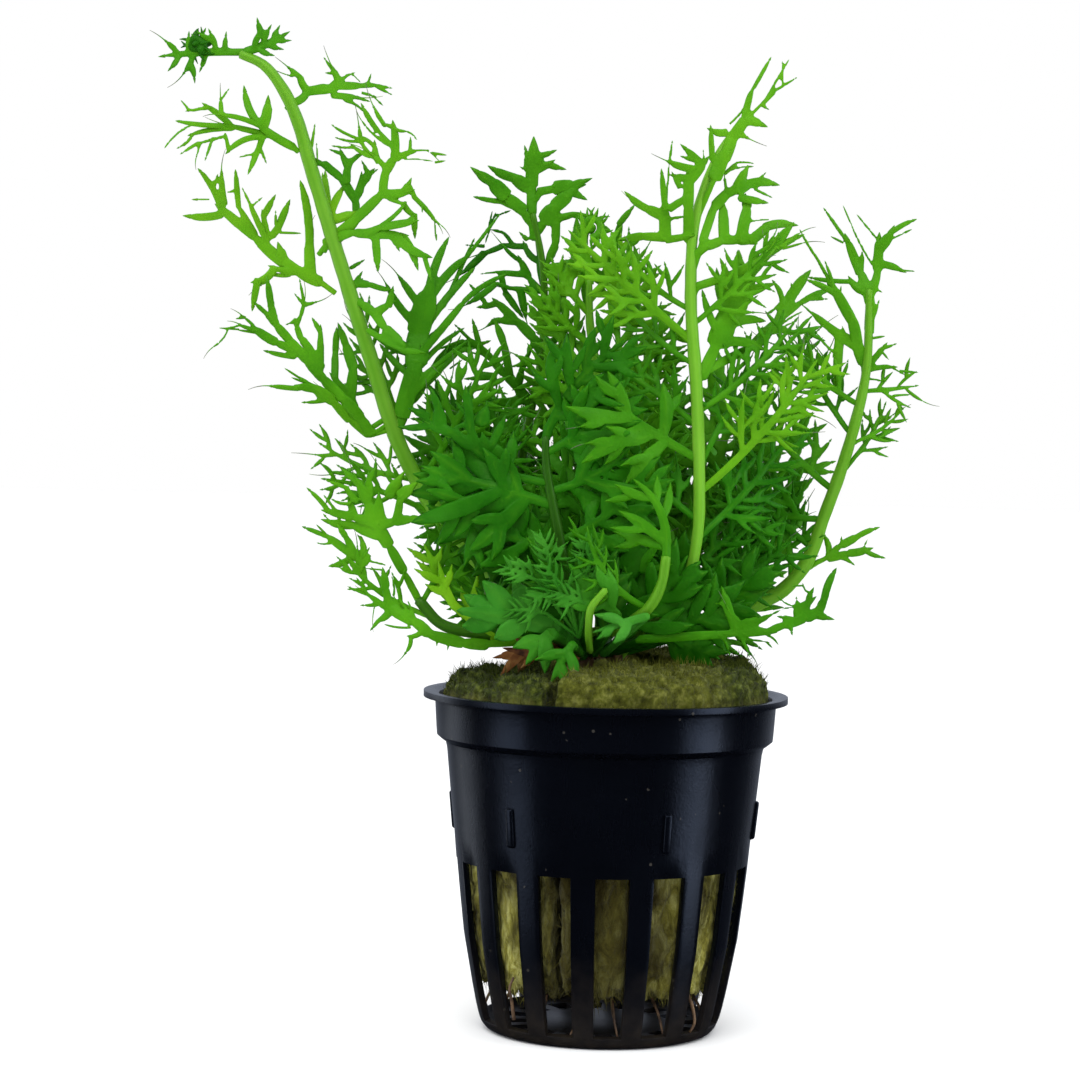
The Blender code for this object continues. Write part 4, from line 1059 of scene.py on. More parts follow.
# Living tissue: patches of a lighter and a darker green, and fine cells. Used on the leaves and on the stalks
tissue, tissue_in, tissue_out = new_group(
    "plant tissue", [("Place", "Vector", None), ("Patch", "Float", 150.0)],
    [("Patches", "Float"), ("Cells", "Float")])
w = Wiring(tissue)
where = tissue_in.outputs["Place"]
wide_patch = w.noise(where, tissue_in.outputs["Patch"], detail=3.0)
w.feed(w.ramp(wide_patch, (0.3, 0.0), (0.7, 1.0)), tissue_out.inputs["Patches"])
cells = w.node("TexVoronoi", feature="SMOOTH_F1")
w.feed(where, cells.inputs["Vector"])
cells.inputs["Scale"].default_value = 2600.0
w.feed(w.math("ADD", cells.outputs["Distance"], w.noise(where, 900.0)), tissue_out.inputs["Cells"])


def add_tissue(wiring, patch):
    made = wiring.node("Group", node_tree=tissue)
    wiring.feed(wiring.object_place(), made.inputs["Place"])
    made.inputs["Patch"].default_value = patch
    return made.outputs["Patches"], made.outputs["Cells"]


def read_growth(wiring):
    kept = wiring.node("Attribute", attribute_name="growth")
    made = wiring.node("SeparateColor")
    wiring.feed(kept.outputs["Color"], made.inputs[0])
    return made.outputs[0], made.outputs[1], made.outputs[2], kept.outputs["Alpha"]


leaf_green, shader, w = new_material(
    "leaf green", Specular_IOR_Level=0.22, Specular_Tint=(0.55, 1.0, 0.3, 1.0), Subsurface_Weight=0.12,
    Subsurface_Radius=(0.4, 0.8, 0.1), Subsurface_Scale=0.0005)
mid, hair, tone, bloom = read_growth(w)
patches, cells = add_tissue(w, 140.0)
# A leaf's tone runs from dark green to yellow-green. It is partly the leaf's own colour and partly painted
# shade: leaves deep inside the plant and low down are given low tones, the outer ones high tones.
deep = w.ramp(
    tone, (0.0, (0.002, 0.040, 0.0003)), (0.35, (0.007, 0.105, 0.0006)), (0.7, (0.038, 0.195, 0.002)),
    (1.0, (0.11, 0.32, 0.004)))
fresh = w.ramp(
    tone, (0.0, (0.005, 0.075, 0.0008)), (0.35, (0.020, 0.165, 0.0015)), (0.7, (0.070, 0.265, 0.004)),
    (1.0, (0.19, 0.42, 0.010)))
blade = w.mix(patches, deep, fresh)
veined = w.mix(w.math("MULTIPLY", w.math("POWER", mid, 3.0), 0.2), blade, (0.11, 0.34, 0.008))
bloomed = w.mix(bloom, veined, w.mix(patches, (0.012, 0.13, 0.011), (0.05, 0.25, 0.032)))
w.feed(w.mix(w.ramp(hair, (0.1, 0.0), (0.8, 1.0)), bloomed, (0.09, 0.10, 0.075)), shader.inputs["Base Color"])
w.feed(w.math("ADD", w.math("MULTIPLY", patches, 0.12), 0.40), shader.inputs["Roughness"])
add_bump(w, shader, w.math("ADD", cells, w.math("MULTIPLY", w.math("POWER", mid, 2.0), 2.0)), 0.00003)

stalk_green, shader, w = new_material(
    "stalk green", Specular_IOR_Level=0.25, Specular_Tint=(0.7, 1.0, 0.5, 1.0), Subsurface_Weight=0.2,
    Subsurface_Radius=(0.6, 1.0, 0.15), Subsurface_Scale=0.001)
ridge, share, tone, _ = read_growth(w)
patches, cells = add_tissue(w, 90.0)
dark = w.ramp(tone, (0.0, (0.005, 0.045, 0.001)), (0.5, (0.040, 0.16, 0.003)), (1.0, (0.12, 0.36, 0.012)))
pale = w.ramp(tone, (0.0, (0.014, 0.08, 0.002)), (0.5, (0.080, 0.25, 0.008)), (1.0, (0.21, 0.46, 0.040)))
w.feed(w.mix(w.math("MULTIPLY", w.math("ADD", ridge, patches), 0.5), dark, pale), shader.inputs["Base Color"])
w.feed(w.math("ADD", w.math("MULTIPLY", patches, 0.15), 0.3), shader.inputs["Roughness"])
add_bump(w, shader, cells, 0.00003)

left_tall = Frond("leaves_left_tall", tone=0.78, hairs=0.22)
left_tall.stalk("stem_left_tall", [
    (-4.6, 58.4, -0.5, 1.1), (-9.2, 61.4, 0.5, 1.15), (-18.1, 68.8, 2, 1.2), (-25.5, 77.7, 3, 1.2),
    (-29.7, 85.6, 3, 1.15), (-34.4, 99.6, 1, 1.12), (-39.6, 116.0, -1, 1.06), (-43.3, 128.0, -3, 1.0),
    (-45.1, 134.2, -3.5, 0.95), (-47.2, 138.7, -4, 0.85), (-50.2, 142.4, -4, 0.75), (-53.4, 143.9, -4, 0.65)],
    stalk_green, ["stalk_left_tall"], 0.68)
leaf = left_tall.leaf
leaf((-54.6, 144.2), 180, 10.0, 6, -0.1, [
    (0.12, -95, 2.3), (0.25, -75, 3.0), (0.38, -60, 2.8), (0.52, -75, 2.6), (0.66, -95, 2.6), (0.8, -50, 2.6),
    (0.4, 70, 2.4), (0.58, 60, 3.2), (0.78, 50, 2.6)], rib=0.8, lobe=0.85, depth=-4.0,
    fine=0.9, tone=0.55, hairs=0.15)
leaf((-52.6, 144.3), 12, 6.0, 22, 0.2, [
    (0.2, 52, 2.6), (0.3, -46, 2.2), (0.45, 48, 2.6), (0.55, -44, 2.0), (0.72, 40, 1.9), (0.8, -36, 1.6)],
     depth=-4.0, rib=0.9, lobe=0.95, root=(-53.2, 143.7, -4.0), tone=0.5, hairs=0.0)
left_tall.coil((-60.1, 145.2), -4.8, 1.15, 1.6, -60, 0.75, 0.12, 16)
left_tall.traced((-46.8, 135.7, -3.6), 0.3, [
    (-457, 1367, -435, 1384, 109, -12), (-437, 1386, -447, 1406, 99, 5), (-443, 1402, -462, 1418, 74),
    (-457, 1406, -464, 1408, 39), (-435, 1384, -398, 1386, 123, 3), (-400, 1387, -388, 1399, 123),
    (-388, 1397, -397, 1416, 89), (-395, 1411, -409, 1431, 49), (-397, 1410, -407, 1411, 32),
    (-385, 1399, -369, 1410, 49, 10), (-369, 1409, -358, 1398, 32), (-390, 1392, -356, 1392, 109),
    (-358, 1392, -333, 1393, 74), (-336, 1393, -314, 1389, 49), (-333, 1390, -313, 1380, 44),
    (-353, 1394, -345, 1398, 35), (-342, 1407, 32), (-399, 1378, -363, 1375, 89),
    (-364, 1375, -347, 1370, 49), (-356, 1382, -338, 1377, 49), (-340, 1378, -326, 1365, 35),
    (-380, 1372, -368, 1367, 69), (-369, 1367, -351, 1353, 44, 5),
    (-425, 1389, -409, 1394, 59)], tone=0.66, hairs=0.1)
left_tall.traced((-44.8, 129.4, -3.3), -0.3, [
    (-456, 1302, -507, 1334, 109, 3), (-502, 1331, -494, 1367, 128, -5), (-506, 1334, -528, 1383, 99, 8),
    (-486, 1318, -551, 1334, 84), (-507, 1334, -565, 1350, 74, -5), (-549, 1334, -585, 1363, 84, -3),
    (-563, 1350, -564, 1372, 69), (-564, 1371, -553, 1386, 39), (-583, 1360, -611, 1356, 54),
    (-610, 1356, -621, 1369, 39), (-551, 1334, -625, 1340, 74, 3), (-602, 1337, -646, 1303, 39, -8),
    (-546, 1329, -607, 1321, 74, -5), (-605, 1322, -626, 1302, 49, 10), (-500, 1317, -552, 1297, 84, -12),
    (-557, 1320, 59), (-555, 1319, -600, 1307, 49), (-597, 1309, -621, 1294, 49),
    (-576, 1316, -586, 1287, 49), (-594, 1310, -600, 1289, 39), (-502, 1316, -510, 1295, 84),
    (-509, 1298, -521, 1269, 79), (-512, 1293, -534, 1288, 39), (-506, 1302, -498, 1282, 49)], tone=0.76)
left_tall.traced((-39.4, 108.6, 0.2), -0.15, [
    (-417, 1103, -454, 1123, 148, 4), (-452, 1119, -514, 1170, 148, 3), (-565, 1212, 123),
    (-564, 1210, -594, 1266, 84, -6), (-580, 1225, -605, 1225, 35), (-575, 1234, -570, 1258, 54, 5),
    (-558, 1217, -563, 1262, 84, 3), (-563, 1203, -609, 1200, 109, 5), (-514, 1175, -538, 1214, 84),
    (-538, 1213, -542, 1263, 79), (-537, 1239, -552, 1236, 44), (-496, 1162, -521, 1217, 84),
    (-519, 1214, -531, 1239, 44), (-516, 1217, -505, 1226, 35), (-494, 1165, -502, 1204, 84),
    (-502, 1199, -487, 1225, 89), (-489, 1170, -479, 1184, 99), (-480, 1182, -465, 1217, 99),
    (-483, 1187, -483, 1205, 44), (-477, 1176, -448, 1175, 32), (-472, 1135, -477, 1152, 138),
    (-451, 1118, -488, 1125, 84, 5), (-485, 1125, -512, 1104, 105, 15), (-510, 1108, -517, 1068, 95),
    (-462, 1113, -493, 1116, 63, 5), (-492, 1116, -505, 1099, 63, 10), (-430, 1108, -433, 1165, 138, 2),
    (-433, 1157, -444, 1244, 109, -4)], tone=0.8)
left_tall.traced((-42.0, 114.2, -0.7), -0.25, [
    (-409, 1157, -363, 1197, 163, -3), (-366, 1194, -324, 1234, 128), (-324, 1230, -319, 1271, 113, 3),
    (-319, 1267, -307, 1286, 118), (-307, 1283, -308, 1332, 109, -4), (-330, 1278, -336, 1305, 84, 6),
    (-335, 1302, -353, 1317, 59), (-338, 1286, -358, 1313, 59, 5), (-356, 1308, -359, 1330, 64),
    (-357, 1310, -391, 1315, 49, 5), (-363, 1315, -397, 1333, 49, 4), (-343, 1288, -368, 1303, 64, 5),
    (-366, 1302, -395, 1303, 49, 5), (-320, 1270, -338, 1289, 74, -5), (-314, 1303, -354, 1339, 39, 6),
    (-314, 1308, -333, 1328, 59), (-331, 1325, -353, 1360, 74, 3), (-320, 1332, -337, 1360, 64, 3),
    (-308, 1330, -322, 1336, 59), (-308, 1330, -289, 1325, 54, -10), (-290, 1325, -274, 1313, 35, 10),
    (-304, 1283, -282, 1293, 84, 10), (-284, 1291, -283, 1315, 54), (-280, 1297, -258, 1297, 39),
    (-259, 1297, -242, 1282, 32, 5), (-252, 1293, -232, 1290, 32), (-292, 1283, -245, 1279, 32, 5),
    (-247, 1279, -234, 1281, 30), (-322, 1233, -289, 1236, 123, -5), (-292, 1234, -286, 1247, 109),
    (-285, 1244, -276, 1226, 74), (-279, 1229, -247, 1194, 69, 2), (-252, 1197, -240, 1188, 32),
    (-248, 1193, -245, 1166, 35), (-267, 1219, -266, 1208, 39), (-320, 1229, -294, 1219, 59, -6),
    (-294, 1220, -278, 1202, 84, -12), (-278, 1204, -277, 1175, 89)], tone=0.74)
left_tall.traced((-41.2, 114.6, -0.8), -0.5, [
    (-405, 1162, -366, 1176, 123, 5), (-324, 1187, 99, -10), (-326, 1187, -292, 1217, 64, -5),
    (-324, 1184, -280, 1192, 109), (-289, 1191, -278, 1201, 59), (-362, 1175, -299, 1172, 126),
    (-304, 1172, -262, 1142, 116, -10), (-264, 1145, -254, 1110, 68), (-335, 1168, -332, 1127, 105),
    (-293, 1168, -275, 1130, 105, 5), (-312, 1173, -303, 1155, 74)], tone=0.7)
left_tall.traced((-44.0, 128.6, -2.9), 0.4, [
    (-432, 1286, -411, 1277, 89, -8), (-412, 1278, -380, 1251, 104), (-383, 1254, -363, 1219, 113),
    (-364, 1221, -363, 1197, 99), (-378, 1249, -377, 1273, 109), (-375, 1268, -385, 1293, 89),
    (-383, 1291, -399, 1297, 54), (-375, 1271, -366, 1286, 84, 10), (-367, 1283, -356, 1291, 69, 10),
    (-366, 1226, -356, 1254, 109, -10), (-356, 1249, -343, 1263, 118), (-345, 1261, -335, 1267, 54),
    (-346, 1263, -353, 1277, 59)], tone=0.5, hairs=0.0)
left_tall.traced((-40.6, 117.6, -1.0), 0.25, [
    (-404, 1194, -385, 1239, 109, 5), (-401, 1194, -409, 1258, 94, 2), (-398, 1194, -368, 1204, 123),
    (-411, 1226, -413, 1257, 69)], tone=0.88, hairs=0.0)
left_tall.traced((-43.6, 129.0, -3.0), 0.2, [
    (-430, 1298, -425, 1332, 49), (-421, 1281, -422, 1305, 39)], tone=0.8, rib=0.3, hairs=0.0)
left_tall.traced((-37.4, 109.0, 0.0), -0.2, [
    (-375, 1093, -361, 1103, 113), (-362, 1101, -343, 1099, 109), (-314, 1091, 79, -3),
    (-364, 1103, -358, 1113, 69), (-373, 1123, -356, 1133, 59), (-373, 1081, -353, 1069, 109),
    (-336, 1056, 123), (-338, 1056, -316, 1069, 109), (-316, 1066, -311, 1088, 99),
    (-338, 1059, -321, 1034, 118), (-296, 1012, 128), (-348, 1032, -296, 1002, 84),
    (-269, 999, 89)], tone=0.6, hairs=0.0)
left_tall.traced((-31.0, 89.0, 2.4), 0.3, [
    (-301, 891, -284, 933, 138), (-284, 930, -272, 967, 138), (-273, 965, -274, 995, 123),
    (-274, 992, -245, 1029, 118), (-282, 928, -264, 950, 128), (-264, 949, -235, 977, 94),
    (-237, 975, -210, 1002, 69), (-210, 1001, -171, 1014, 79), (-250, 967, -235, 992, 59),
    (-235, 991, -218, 1029, 35), (-225, 992, -210, 1022, 35), (-274, 995, -309, 1004, 99),
    (-306, 1003, -338, 1027, 99), (-272, 999, -284, 1017, 74),
    (-225, 975, -208, 987, 25)], tone=0.5, hairs=0.0)
left_tall.traced((-31.4, 89.4, 2.4), -0.25, [
    (-341, 876, -361, 906, 138), (-359, 903, -385, 933, 148), (-385, 930, -415, 962, 138),
    (-414, 960, -440, 990, 123), (-438, 988, -464, 1019, 123), (-463, 1017, -484, 1041, 113),
    (-483, 1040, -499, 1059, 89), (-498, 1057, -512, 1070, 69), (-484, 1041, -490, 1069, 109, 3),
    (-490, 1066, -495, 1103, 94), (-459, 1004, -484, 1014, 109), (-483, 1014, -514, 1034, 118, 3),
    (-512, 1032, -536, 1040, 64, 5), (-535, 1039, -555, 1035, 39), (-554, 1035, -575, 1008, 35, 10),
    (-516, 1039, -530, 1051, 49), (-530, 1050, -541, 1049, 25), (-528, 1051, -535, 1054, 22),
    (-506, 1027, -538, 1032, 32), (-454, 992, -495, 1000, 74, 2), (-538, 1033, -565, 1035, 25),
    (-415, 977, -430, 1002, 109), (-430, 999, -447, 1022, 109), (-446, 1019, -453, 1039, 89),
    (-453, 1038, -446, 1054, 69), (-454, 1049, -465, 1041, 49, 10), (-446, 1053, -442, 1069, 59),
    (-453, 1083, 44), (-440, 1069, -425, 1073, 59), (-441, 1071, -447, 1103, 49),
    (-417, 972, -417, 1032, 89), (-417, 1029, -427, 1046, 69)], tone=0.66)
left_tall.traced((-31.0, 88.6, 2.6), -0.4, [
    (-345, 876, -375, 901, 109), (-374, 898, -400, 928, 113), (-399, 927, -427, 948, 138),
    (-426, 945, -449, 949, 113), (-448, 945, -489, 949, 74), (-430, 949, -449, 962, 64),
    (-448, 961, -468, 974, 30), (-442, 955, -458, 961, 30), (-410, 928, -440, 925, 59, 3),
    (-415, 933, -424, 938, 74)], tone=0.72)
left_tall.traced((-31.2, 89.6, 2.4), 0.15, [
    (-297, 906, -275, 987, 212), (-275, 981, -272, 1037, 250), (-272, 1031, -257, 1087, 275),
    (-257, 1081, -232, 1159, 112, 5), (-266, 1062, -297, 1106, 100), (-272, 1037, -316, 1093, 100, 5),
    (-275, 999, -322, 1037, 88, 5), (-279, 962, -325, 1006, 88, 5), (-257, 1074, -204, 1137, 112, 5),
    (-204, 1134, -154, 1199, 56), (-260, 1037, -194, 1118, 100, 3), (-235, 1065, -191, 1162, 62),
    (-266, 999, -204, 1074, 100), (-147, 1112, 75, 5), (-272, 974, -210, 1031, 75, 5),
    (-275, 956, -204, 1012, 75), (-279, 937, -235, 981, 75)], tone=0.5)
left_tall.traced((-31.6, 90.4, 2.4), 0.1, [
    (-351, 881, -366, 913, 123), (-366, 912, -373, 933, 123), (-373, 930, -368, 977, 138),
    (-368, 975, -380, 1012, 133), (-379, 1009, -388, 1034, 99), (-375, 933, -398, 962, 99),
    (-396, 960, -395, 1002, 99), (-395, 999, -393, 1032, 89)], tone=0.6, hairs=0.0)
for foot, heading, reach, bend, lean, teeth, rib, lobe, tone in [
        ((-27.0, 80.4), 58, 20.0, 10, -0.15, (4, 52, 8.4, 1), 0.7, 0.75, 0.5),
        ((-29.0, 84.0), 104, 17.0, 14, 0.3, (4, 46, 6.4, 1), 0.65, 0.65, 0.6),
        ((-24.5, 77.0), 28, 16.0, 20, -0.1, (4, 48, 6.8, 1), 0.7, 0.7, 0.4),
        ((-21.0, 72.0), 78, 19.0, -16, 0.15, (4, 50, 7.4, 2), 0.75, 0.75, 0.42),
        ((-23.0, 75.0), 152, 14.0, 24, -0.3, (3, 46, 5.6), 0.6, 0.65, 0.62),
        ((-27.0, 81.0), 168, 13.0, -20, 0.2, (3, 46, 5.4), 0.6, 0.6, 0.7)]:
    leaf(foot, heading, reach, bend, lean, comb(*teeth), rib=rib, lobe=lobe, tone=tone)
left_tall.piece(leaf_green, "leaf_left_tall_curl", *[f"leaf_left_tall_{place}" for place in range(1, 10)])

# Low left frond: a thin dark stalk that sweeps out over the lip and up, with one much divided leaf. Two older
# leaves lie over the wool below it.

low_left = Frond("leaves_low_left", tone=0.72, hairs=0.1)
low_left.stalk("stem_low_left", [
    (-8.0, 58.0, -4, 0.8), (-12.1, 57.4, -6, 0.85), (-18.2, 58.2, -8, 0.85), (-24.1, 59.8, -9, 0.85),
    (-27.2, 63.2, -9, 0.8)], stalk_green, ["stalk_low_left"], 0.15, sides=10)
leaf = low_left.leaf
low_left.traced((-26.9, 62.6, -9.0), -0.05, [
    (-272, 632, -294, 674, 99), (-316, 713, 128), (-331, 743, 153, 3), (-346, 775, 178, 3),
    (-361, 805, 123), (-383, 824, 84), (-346, 785, -346, 810, 123), (-338, 824, 74),
    (-375, 797, -405, 808, 59), (-363, 777, -380, 797, 84), (-333, 745, -368, 755, 133), (-405, 763, 113),
    (-433, 794, 69, -3), (-390, 758, -410, 784, 49), (-405, 750, -412, 758, 35),
    (-373, 775, -398, 780, 54, 10), (-366, 755, -375, 780, 99), (-331, 728, -368, 743, 148),
    (-405, 748, 113, 5), (-321, 684, -346, 690, 39), (-373, 701, 158), (-407, 726, 109), (-440, 739, 69),
    (-409, 729, -422, 742, 30), (-398, 718, -420, 716, 39, 10), (-370, 696, -399, 683, 94, 8),
    (-380, 686, -383, 676, 30), (-356, 686, -358, 673, 54), (-324, 676, -351, 679, 39),
    (-351, 696, -356, 721, 89), (-356, 718, -361, 726, 39), (-368, 703, -380, 726, 99), (-390, 740, 84),
    (-331, 743, -306, 748, 123), (-282, 753, 123), (-251, 748, 113, -5), (-326, 750, -331, 782, 123, 5),
    (-306, 750, -300, 785, 109, -5), (-282, 800, 148), (-316, 787, -301, 810, 148)])
low_left.traced((-8.0, 57.4, -9.0), -0.3, [
    (-86, 574, -174, 566, 120), (-171, 565, -208, 568, 148), (-257, 581, 148), (-282, 602, 138, -5),
    (-316, 620, 148), (-316, 617, -346, 639, 84), (-373, 650, 54), (-346, 639, -363, 663, 35),
    (-336, 629, -338, 620, 44), (-316, 620, -321, 652, 109), (-324, 671, 109), (-296, 612, -309, 637, 54),
    (-311, 664, 39, -5), (-284, 610, -301, 634, 44), (-303, 647, 25), (-277, 605, -287, 628, 39),
    (-314, 616, -331, 602, 99, 10), (-341, 590, 59), (-284, 591, -321, 595, 30, 5),
    (-269, 584, -284, 578, 74, 15), (-291, 554, 64, 12), (-245, 575, -245, 565, 25),
    (-227, 568, -229, 559, 25)], tone=0.68)
leaf((-7.4, 59.2), 168, 13.4, 4, -0.3, [
    (0.16, -58, 5.6, 18, [(0.5, 34, 2.4)]), (0.45, -50, 5.4, 14), (0.3, 46, 4.2, -10), (0.6, 34, 4.4, -12),
    (0.7, -30, 3.4)], depth=-12.0, rib=1.9, lobe=2.4, root=(-3.0, 55.5, -4.0), tone=0.4,
    fine=0.0, bloom=0.45, blunt=1.0)
leaf((-7.6, 58.2), 226, 5.2, 10, -0.25, [(0.2, 42, 3.6), (0.3, -40, 3.4)], depth=-13.0, rib=1.3, lobe=2.0,
     root=(-3.6, 56.0, -5.0), tone=0.42, fine=0.0, bloom=0.3, blunt=0.7)
leaf((-22.0, 62.4), 118, 6.0, -16, -0.1, [(0.3, 44, 3.0), (0.5, -40, 2.6)], depth=-9.5, rib=0.9, lobe=1.1,
     root=(-16.0, 57.6, -8.0), tone=0.98, fine=0.3)
leaf((-24.6, 65.4), 96, 5.6, 18, -0.1, [(0.3, 44, 2.8), (0.5, -40, 2.6)], depth=-8.5, rib=0.8, lobe=1.0,
     root=(-21.0, 61.6, -9.0), tone=0.95, fine=0.3)
leaf((-20.6, 60.4), 62, 6.6, 18, -0.1, [(0.3, 44, 2.8), (0.5, -40, 2.6)], depth=-8.0, rib=0.8, lobe=1.0,
     root=(-18.0, 58.2, -8.0), tone=0.9, fine=0.3)
for foot, heading, reach, bend, lean, teeth, rib, lobe, tone in [
        ((-24.5, 60.4), 158, 12.0, -30, -0.2, (3, 46, 5.0), 0.6, 0.6, 0.7),
        ((-26.6, 62.8), 62, 15.0, 18, 0.2, (3, 46, 6.0), 0.6, 0.6, 0.6),
        ((-16.0, 58.0), 98, 17.0, 24, 0.1, (4, 48, 6.2), 0.7, 0.7, 0.45)]:
    leaf(foot, heading, reach, bend, lean, comb(*teeth), rib=rib, lobe=lobe, tone=tone)
low_left.piece(leaf_green, "leaf_low_left", "leaf_bottom_left", "leaf_round")

# Middle frond: it stands upright left of the middle, behind the others, and ends in a broad top.
# Its stalk is thin and dark, and leaves the rootstock at the back.

middle_frond = Frond("leaves_middle", tone=0.5, hairs=0.03)
middle_frond.stalk("stem_middle", [
    (-2.6, 58.4, 2.5, 0.85), (-6.2, 64.7, 6, 0.85), (-10.9, 74.4, 9, 0.8), (-12.0, 81.0, 10, 0.75),
    (-10.7, 90.1, 10, 0.65), (-9.0, 98.6, 10, 0.6), (-8.5, 106.7, 10, 0.55), (-8.7, 112.2, 9, 0.55),
    (-10.2, 120.2, 8, 0.45)], stalk_green, ["stalk_middle"], 0.3, sides=10)
leaf = middle_frond.leaf
middle_frond.traced((-9.6, 116.8, 8.4), -0.1, [
    (-100, 1165, -104, 1209, 113), (-104, 1204, -104, 1249, 128), (-104, 1244, -103, 1275, 153),
    (-101, 1268, -101, 1296, 217), (-97, 1288, -74, 1294, 84, -5), (-109, 1281, -113, 1297, 74),
    (-95, 1268, -79, 1277, 109), (-81, 1277, -61, 1270, 89, -4), (-109, 1241, -131, 1257, 163),
    (-129, 1256, -159, 1268, 123, 5), (-104, 1189, -118, 1210, 109, 5), (-116, 1208, -143, 1230, 148),
    (-142, 1229, -164, 1251, 178), (-162, 1250, -184, 1264, 128, 3), (-123, 1212, -151, 1223, 104),
    (-148, 1221, -184, 1227, 74, 2), (-103, 1221, -92, 1235, 84, -10), (-95, 1236, -65, 1242, 109, -3),
    (-68, 1241, -41, 1244, 183), (-44, 1244, -26, 1251, 109), (-50, 1238, -29, 1227, 99),
    (-99, 1173, -84, 1193, 118), (-84, 1192, -69, 1214, 207), (-70, 1214, -47, 1233, 173),
    (-66, 1197, -44, 1202, 99, -3), (-47, 1202, -22, 1200, 84), (-68, 1189, -69, 1155, 113),
    (-69, 1157, -81, 1131, 109), (-110, 1164, -118, 1172, 69),
    (-111, 1266, -119, 1271, 35)], tone=0.56, rib=0.8, hairs=0.0)
middle_frond.traced((-8.8, 109.8, 9.4), 0.3, [
    (-87, 1098, -94, 1135, 94), (-93, 1133, -114, 1156, 89, 12), (-111, 1156, -146, 1158, 84, 5),
    (-145, 1157, -176, 1145, 79, 3), (-174, 1146, -203, 1119, 99, 2), (-132, 1157, -148, 1177, 59, -5),
    (-148, 1176, -163, 1180, 49), (-166, 1180, -174, 1157, 35), (-181, 1162, -169, 1182, 35),
    (-168, 1182, -163, 1204, 35), (-166, 1183, -158, 1203, 35), (-160, 1199, -138, 1207, 35),
    (-173, 1155, -198, 1157, 49)], tone=0.2, hairs=0.3)
middle_frond.traced((-8.7, 108.8, 9.6), -0.2, [
    (-89, 1088, -109, 1110, 99, 5), (-108, 1109, -121, 1135, 99), (-120, 1133, -146, 1156, 64, 5),
    (-110, 1113, -153, 1117, 84), (-150, 1115, -143, 1086, 84), (-144, 1088, -121, 1056, 89),
    (-97, 1090, -139, 1094, 74), (-136, 1093, -158, 1102, 64), (-157, 1101, -195, 1073, 89, 3),
    (-121, 1093, -114, 1056, 109), (-151, 1118, -176, 1115, 39)], tone=0.4)
middle_frond.traced((-8.7, 99.0, 10.0), 0.2, [
    (-84, 992, -104, 1024, 138), (-103, 1022, -126, 1046, 128), (-125, 1045, -151, 1046, 113),
    (-150, 1046, -165, 1041, 89, -10), (-131, 1050, -156, 1073, 109), (-155, 1072, -179, 1066, 84, 5),
    (-173, 1073, -193, 1096, 69), (-107, 1009, -109, 992, 69)], tone=0.46)
middle_frond.traced((-10.5, 91.8, 10.0), -0.2, [
    (-104, 921, -126, 950, 143, 3), (-125, 948, -146, 970, 123), (-145, 967, -166, 992, 109),
    (-165, 991, -194, 1017, 99), (-193, 1014, -218, 1009, 94), (-215, 1010, -240, 992, 104),
    (-238, 993, -257, 962, 94), (-181, 1007, -190, 1041, 79), (-195, 1017, -215, 1037, 54),
    (-124, 951, -119, 972, 109), (-120, 970, -109, 997, 84), (-136, 962, -146, 1017, 109),
    (-146, 1014, -156, 1040, 99), (-156, 962, -197, 960, 74), (-160, 967, -189, 970, 32),
    (-156, 958, -156, 943, 44), (-114, 932, -169, 927, 133, 10), (-205, 1017, -240, 1004, 49),
    (-171, 995, -199, 999, 39)], tone=0.48)
middle_frond.traced((-9.7, 94.0, 10.0), 0.2, [
    (-93, 937, -72, 933, 99, -3), (-73, 934, -42, 921, 128), (-44, 921, -18, 902, 128),
    (-20, 902, 14, 893, 123), (12, 893, 39, 909, 84), (-82, 982, -62, 964, 109), (-63, 964, -40, 953, 118),
    (-41, 953, -8, 943, 128), (-40, 953, -18, 972, 99), (-81, 1009, -67, 1019, 109),
    (-68, 1017, -57, 1046, 99), (-42, 921, -57, 943, 59), (-18, 902, -33, 879, 89),
    (14, 893, 2, 918, 74)], tone=0.5)
middle_frond.traced((-8.5, 111.0, 9.2), -0.2, [
    (-83, 1123, -57, 1128, 99), (-60, 1128, -35, 1130, 123), (-37, 1130, -8, 1110, 148),
    (-10, 1113, 27, 1091, 158), (24, 1092, 54, 1066, 148), (-55, 1125, -50, 1106, 74),
    (-57, 1106, -61, 1066, 123), (-57, 1091, -72, 1113, 74), (-33, 1123, -25, 1091, 109),
    (-25, 1093, -18, 1059, 123), (-35, 1135, -37, 1180, 173), (-8, 1110, -13, 1135, 99),
    (2, 1106, 17, 1150, 109), (17, 1147, 27, 1189, 109), (24, 1187, 43, 1210, 84)], tone=0.58)
for foot, heading, reach, bend, lean, teeth, rib, lobe, tone in [
        ((-11.3, 86.0), 34, 15.0, 22, -0.1, (4, 50, 6.6, 1), 0.7, 0.75, None),
        ((-12.0, 83.0), 148, 15.0, -20, -0.1, (4, 50, 6.6, 1), 0.7, 0.75, None),
        ((-11.4, 78.0), 128, 17.0, 14, 0.2, (4, 50, 7.0, 1), 0.7, 0.75, 0.3),
        ((-9.0, 73.0), 60, 16.0, 16, 0.1, (4, 50, 7.0, 1), 0.7, 0.75, 0.25)]:
    leaf(foot, heading, reach, bend, lean, comb(*teeth), rib=rib, lobe=lobe, tone=tone)
middle_frond.piece(leaf_green, "leaf_middle_top", *[f"leaf_middle_{place}" for place in range(1, 5)])
